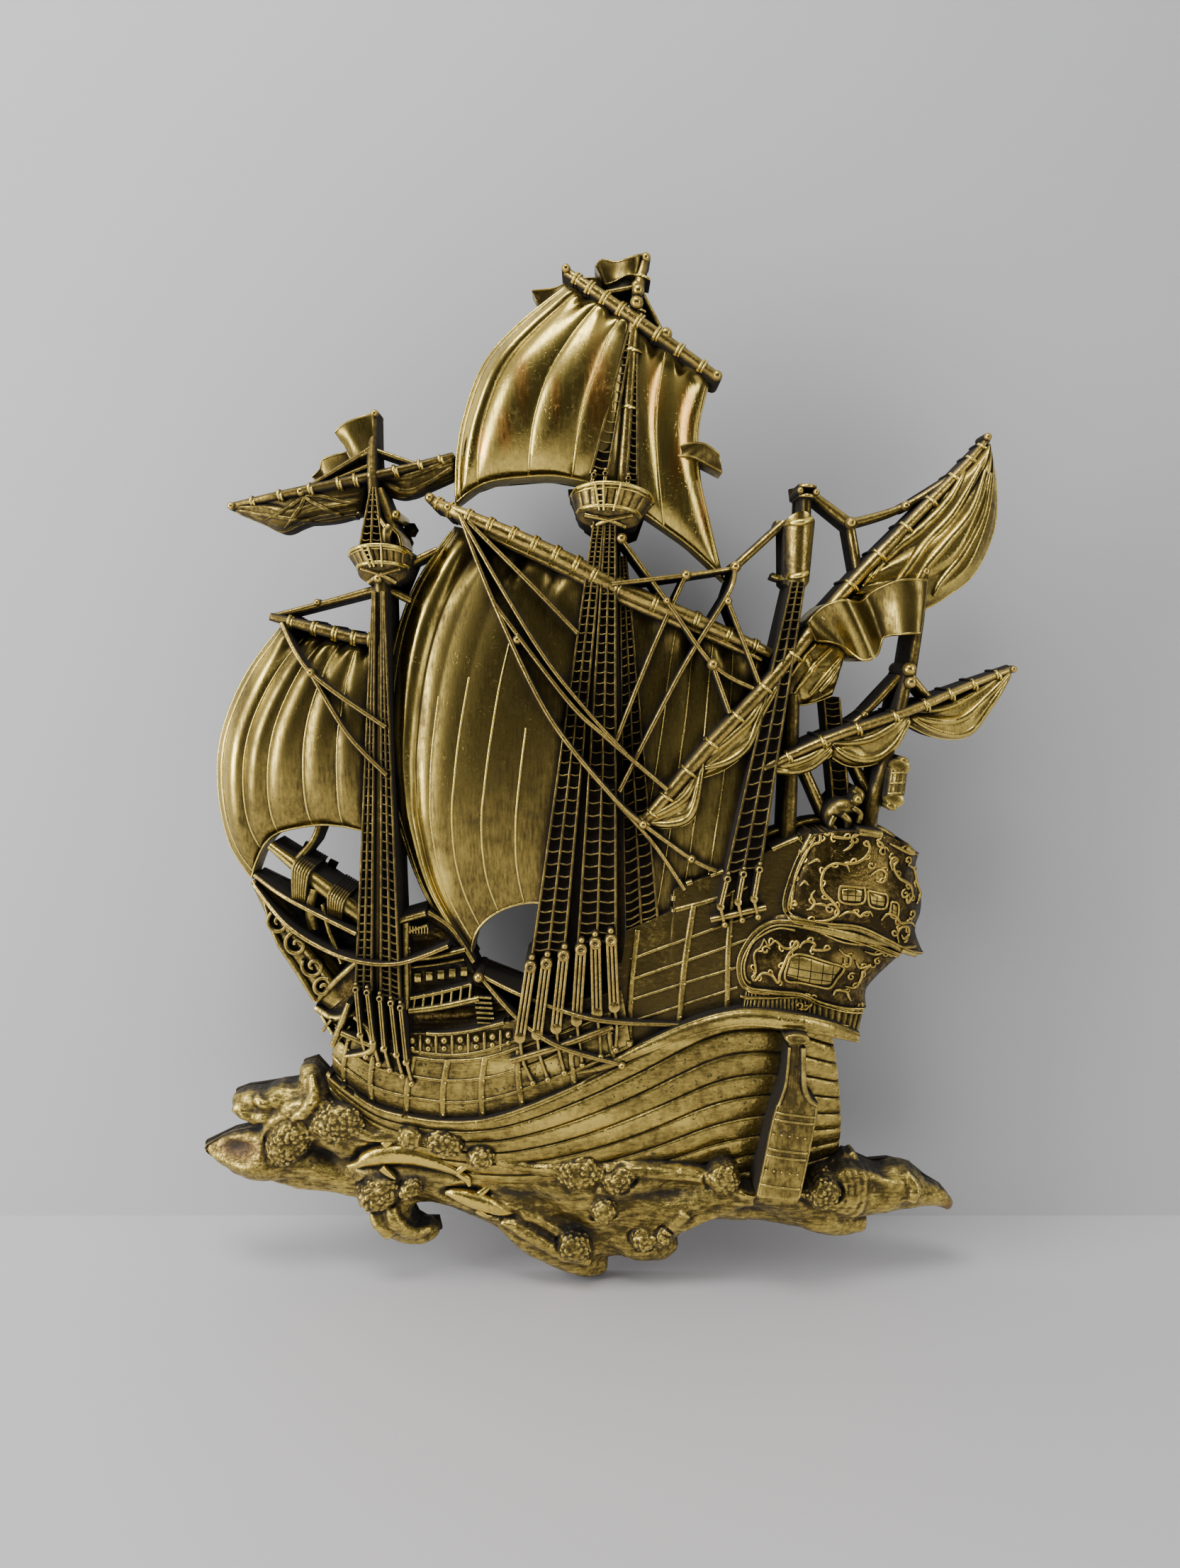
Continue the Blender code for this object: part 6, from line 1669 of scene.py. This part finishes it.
def makeBow():
    piece = Relief("bow", 1)
    wall, deck = patch(*bow["wall"]), patch(*bow["deck"])
    piece.sheet(30, 40, lambda u, v: wall(u, v) + (30 + 6 * v + 0.7 * math.sin(40 * v),), "cabin", finish=2)
    piece.sheet(34, 30, lambda u, v: deck(u, v) + (22 + 18 * u ** 0.5,), "deck", finish=2)
    piece.rib(bow["beak"], sides=14, flat=0.35, step=2)
    for points in bow["posts"]:
        piece.rib(points, sides=8)
    piece.rib(bow["bowsprit"], sides=14, finish=3)
    for x, z, radius, depth, start in bow["curls"]:
        line = [point + (depth, 1.2 + 1.8 * swell(t)) for point, t in
                zip(curl(x, z, radius, 1.3, start), shares(12, 0.1, 0.9))]
        piece.rib(line, sides=8, step=1.2)
    for x, z, footX, footZ in bow["lashings"]:  # turns of rope round the bowsprit and down to the beak
        for shift in shares(6, -4.5, 4.5):
            piece.rib([(x + 3 + shift, z + 6 - shift * 0.6, 38), (x + shift, z - shift * 0.6, 46.5),
                       (footX + shift * 0.8, footZ - shift * 0.3, 37)], 1.4, step=1.5)
    for count, ends, moves, width, sides, flat in bow["rows"]:
        for number in range(count):
            bar = [(x + number * moveX, z + number * moveZ, depth)
                   for (x, z, depth), (moveX, moveZ) in zip(ends, moves)]
            piece.rib(bar, width, sides=sides, flat=flat)
    piece.done([carvedGold, webDark, recessDark, canvasGold])


# Flags, pennant and the sailor in the fore top

# top and low line, depth, height and number of the waves, columns and rows
flags = {
    "ensign": ([(192, -57), (174, -57), (160, -63), (151, -70), (139, -69), (128, -73), (119, -83)],
               [(188, -90), (175, -91), (167, -93), (162, -103), (152, -107), (141, -97), (124, -94)],
               46, 5.2, 1.9, 90, 30),
    "main_flag": ([(15, 142), (8, 139), (0, 138), (-9, 140), (-13, 135)],
                  [(12, 129), (6, 129), (0, 127), (-7, 125), (-9, 127)], 26, 3.0, 1.0, 50, 16),
    "main_flag_tail": ([(-6, 131), (-21, 131), (-31, 129), (-39, 126), (-53, 124)],
                       [(-4, 110), (-24, 112), (-40, 114), (-46, 116), (-50, 118)], 15, 2.0, 1.0, 40, 16),
    "fore_flag": ([(-152, 47), (-162, 44), (-170, 41), (-177, 36)],
                  [(-152, 24), (-158, 21), (-166, 19), (-169, 24)], 24, 3.0, 0.6, 40, 20),
    "fore_flag_tail": ([(-166, 26), (-176, 24), (-187, 21), (-189, 15), (-194, 10)],
                       [(-160, 18), (-172, 12), (-182, 8), (-186, 7), (-189, 5)], 14, 2.0, 1.0, 40, 12),
    "pennant": ([(36, 25), (45, 28), (55, 28), (65, 22)],
                [(38, 20), (46, 20), (55, 17), (67, 11)], 27, 3.0, 0.6, 40, 12),
}
sailor = {
    "body": [(-142, -38, 38, 5), (-142.5, -32, 40, 5.5), (-142, -27, 41, 7.5), (-140, -23.5, 40, 7)],
    "rightArm": [(-138.5, -25, 41, 3), (-134.5, -29.5, 41, 2.6), (-133, -36, 41, 2.4)],
    "leftArm": [(-143.5, -24, 40, 3), (-147, -19, 38, 2.4), (-150, -14, 36, 2.2)],
}


def makeFlag(piece, name):
    top, low, depth, high, waves, columns, rows = flags[name]
    outline = patch(top, low)

    def front(u, v):
        wave = high * math.sin(2 * math.pi * (waves * u + 0.12 * v))
        return outline(u, v) + (depth + wave + 0.5 * math.sin(9 * u + 5 * v),)
    piece.sheet(columns, rows, front, name)
    for v in (0.03, 0.97):
        rim = [outline(u, v) for u in shares(12, 0.02, 0.98)]
        piece.rib(rim, 1.4, over=[name], lift=0.5, sides=4, step=2)


def makeFlags():
    piece = Relief("flags")
    for name in flags:
        makeFlag(piece, name)
    for points in sailor.values():
        piece.rib(points, sides=10, flat=0.42, step=1.2)
    piece.ball(-136.5, -17, 3.2, 42, 12, 0.9)
    piece.done([sailGold])


makeBack()
makeSea()
makeHull()
makeStern()
makeBow()
makeSails()
makeFurled()
makeSpars()
makeRigging()
makeFlags()
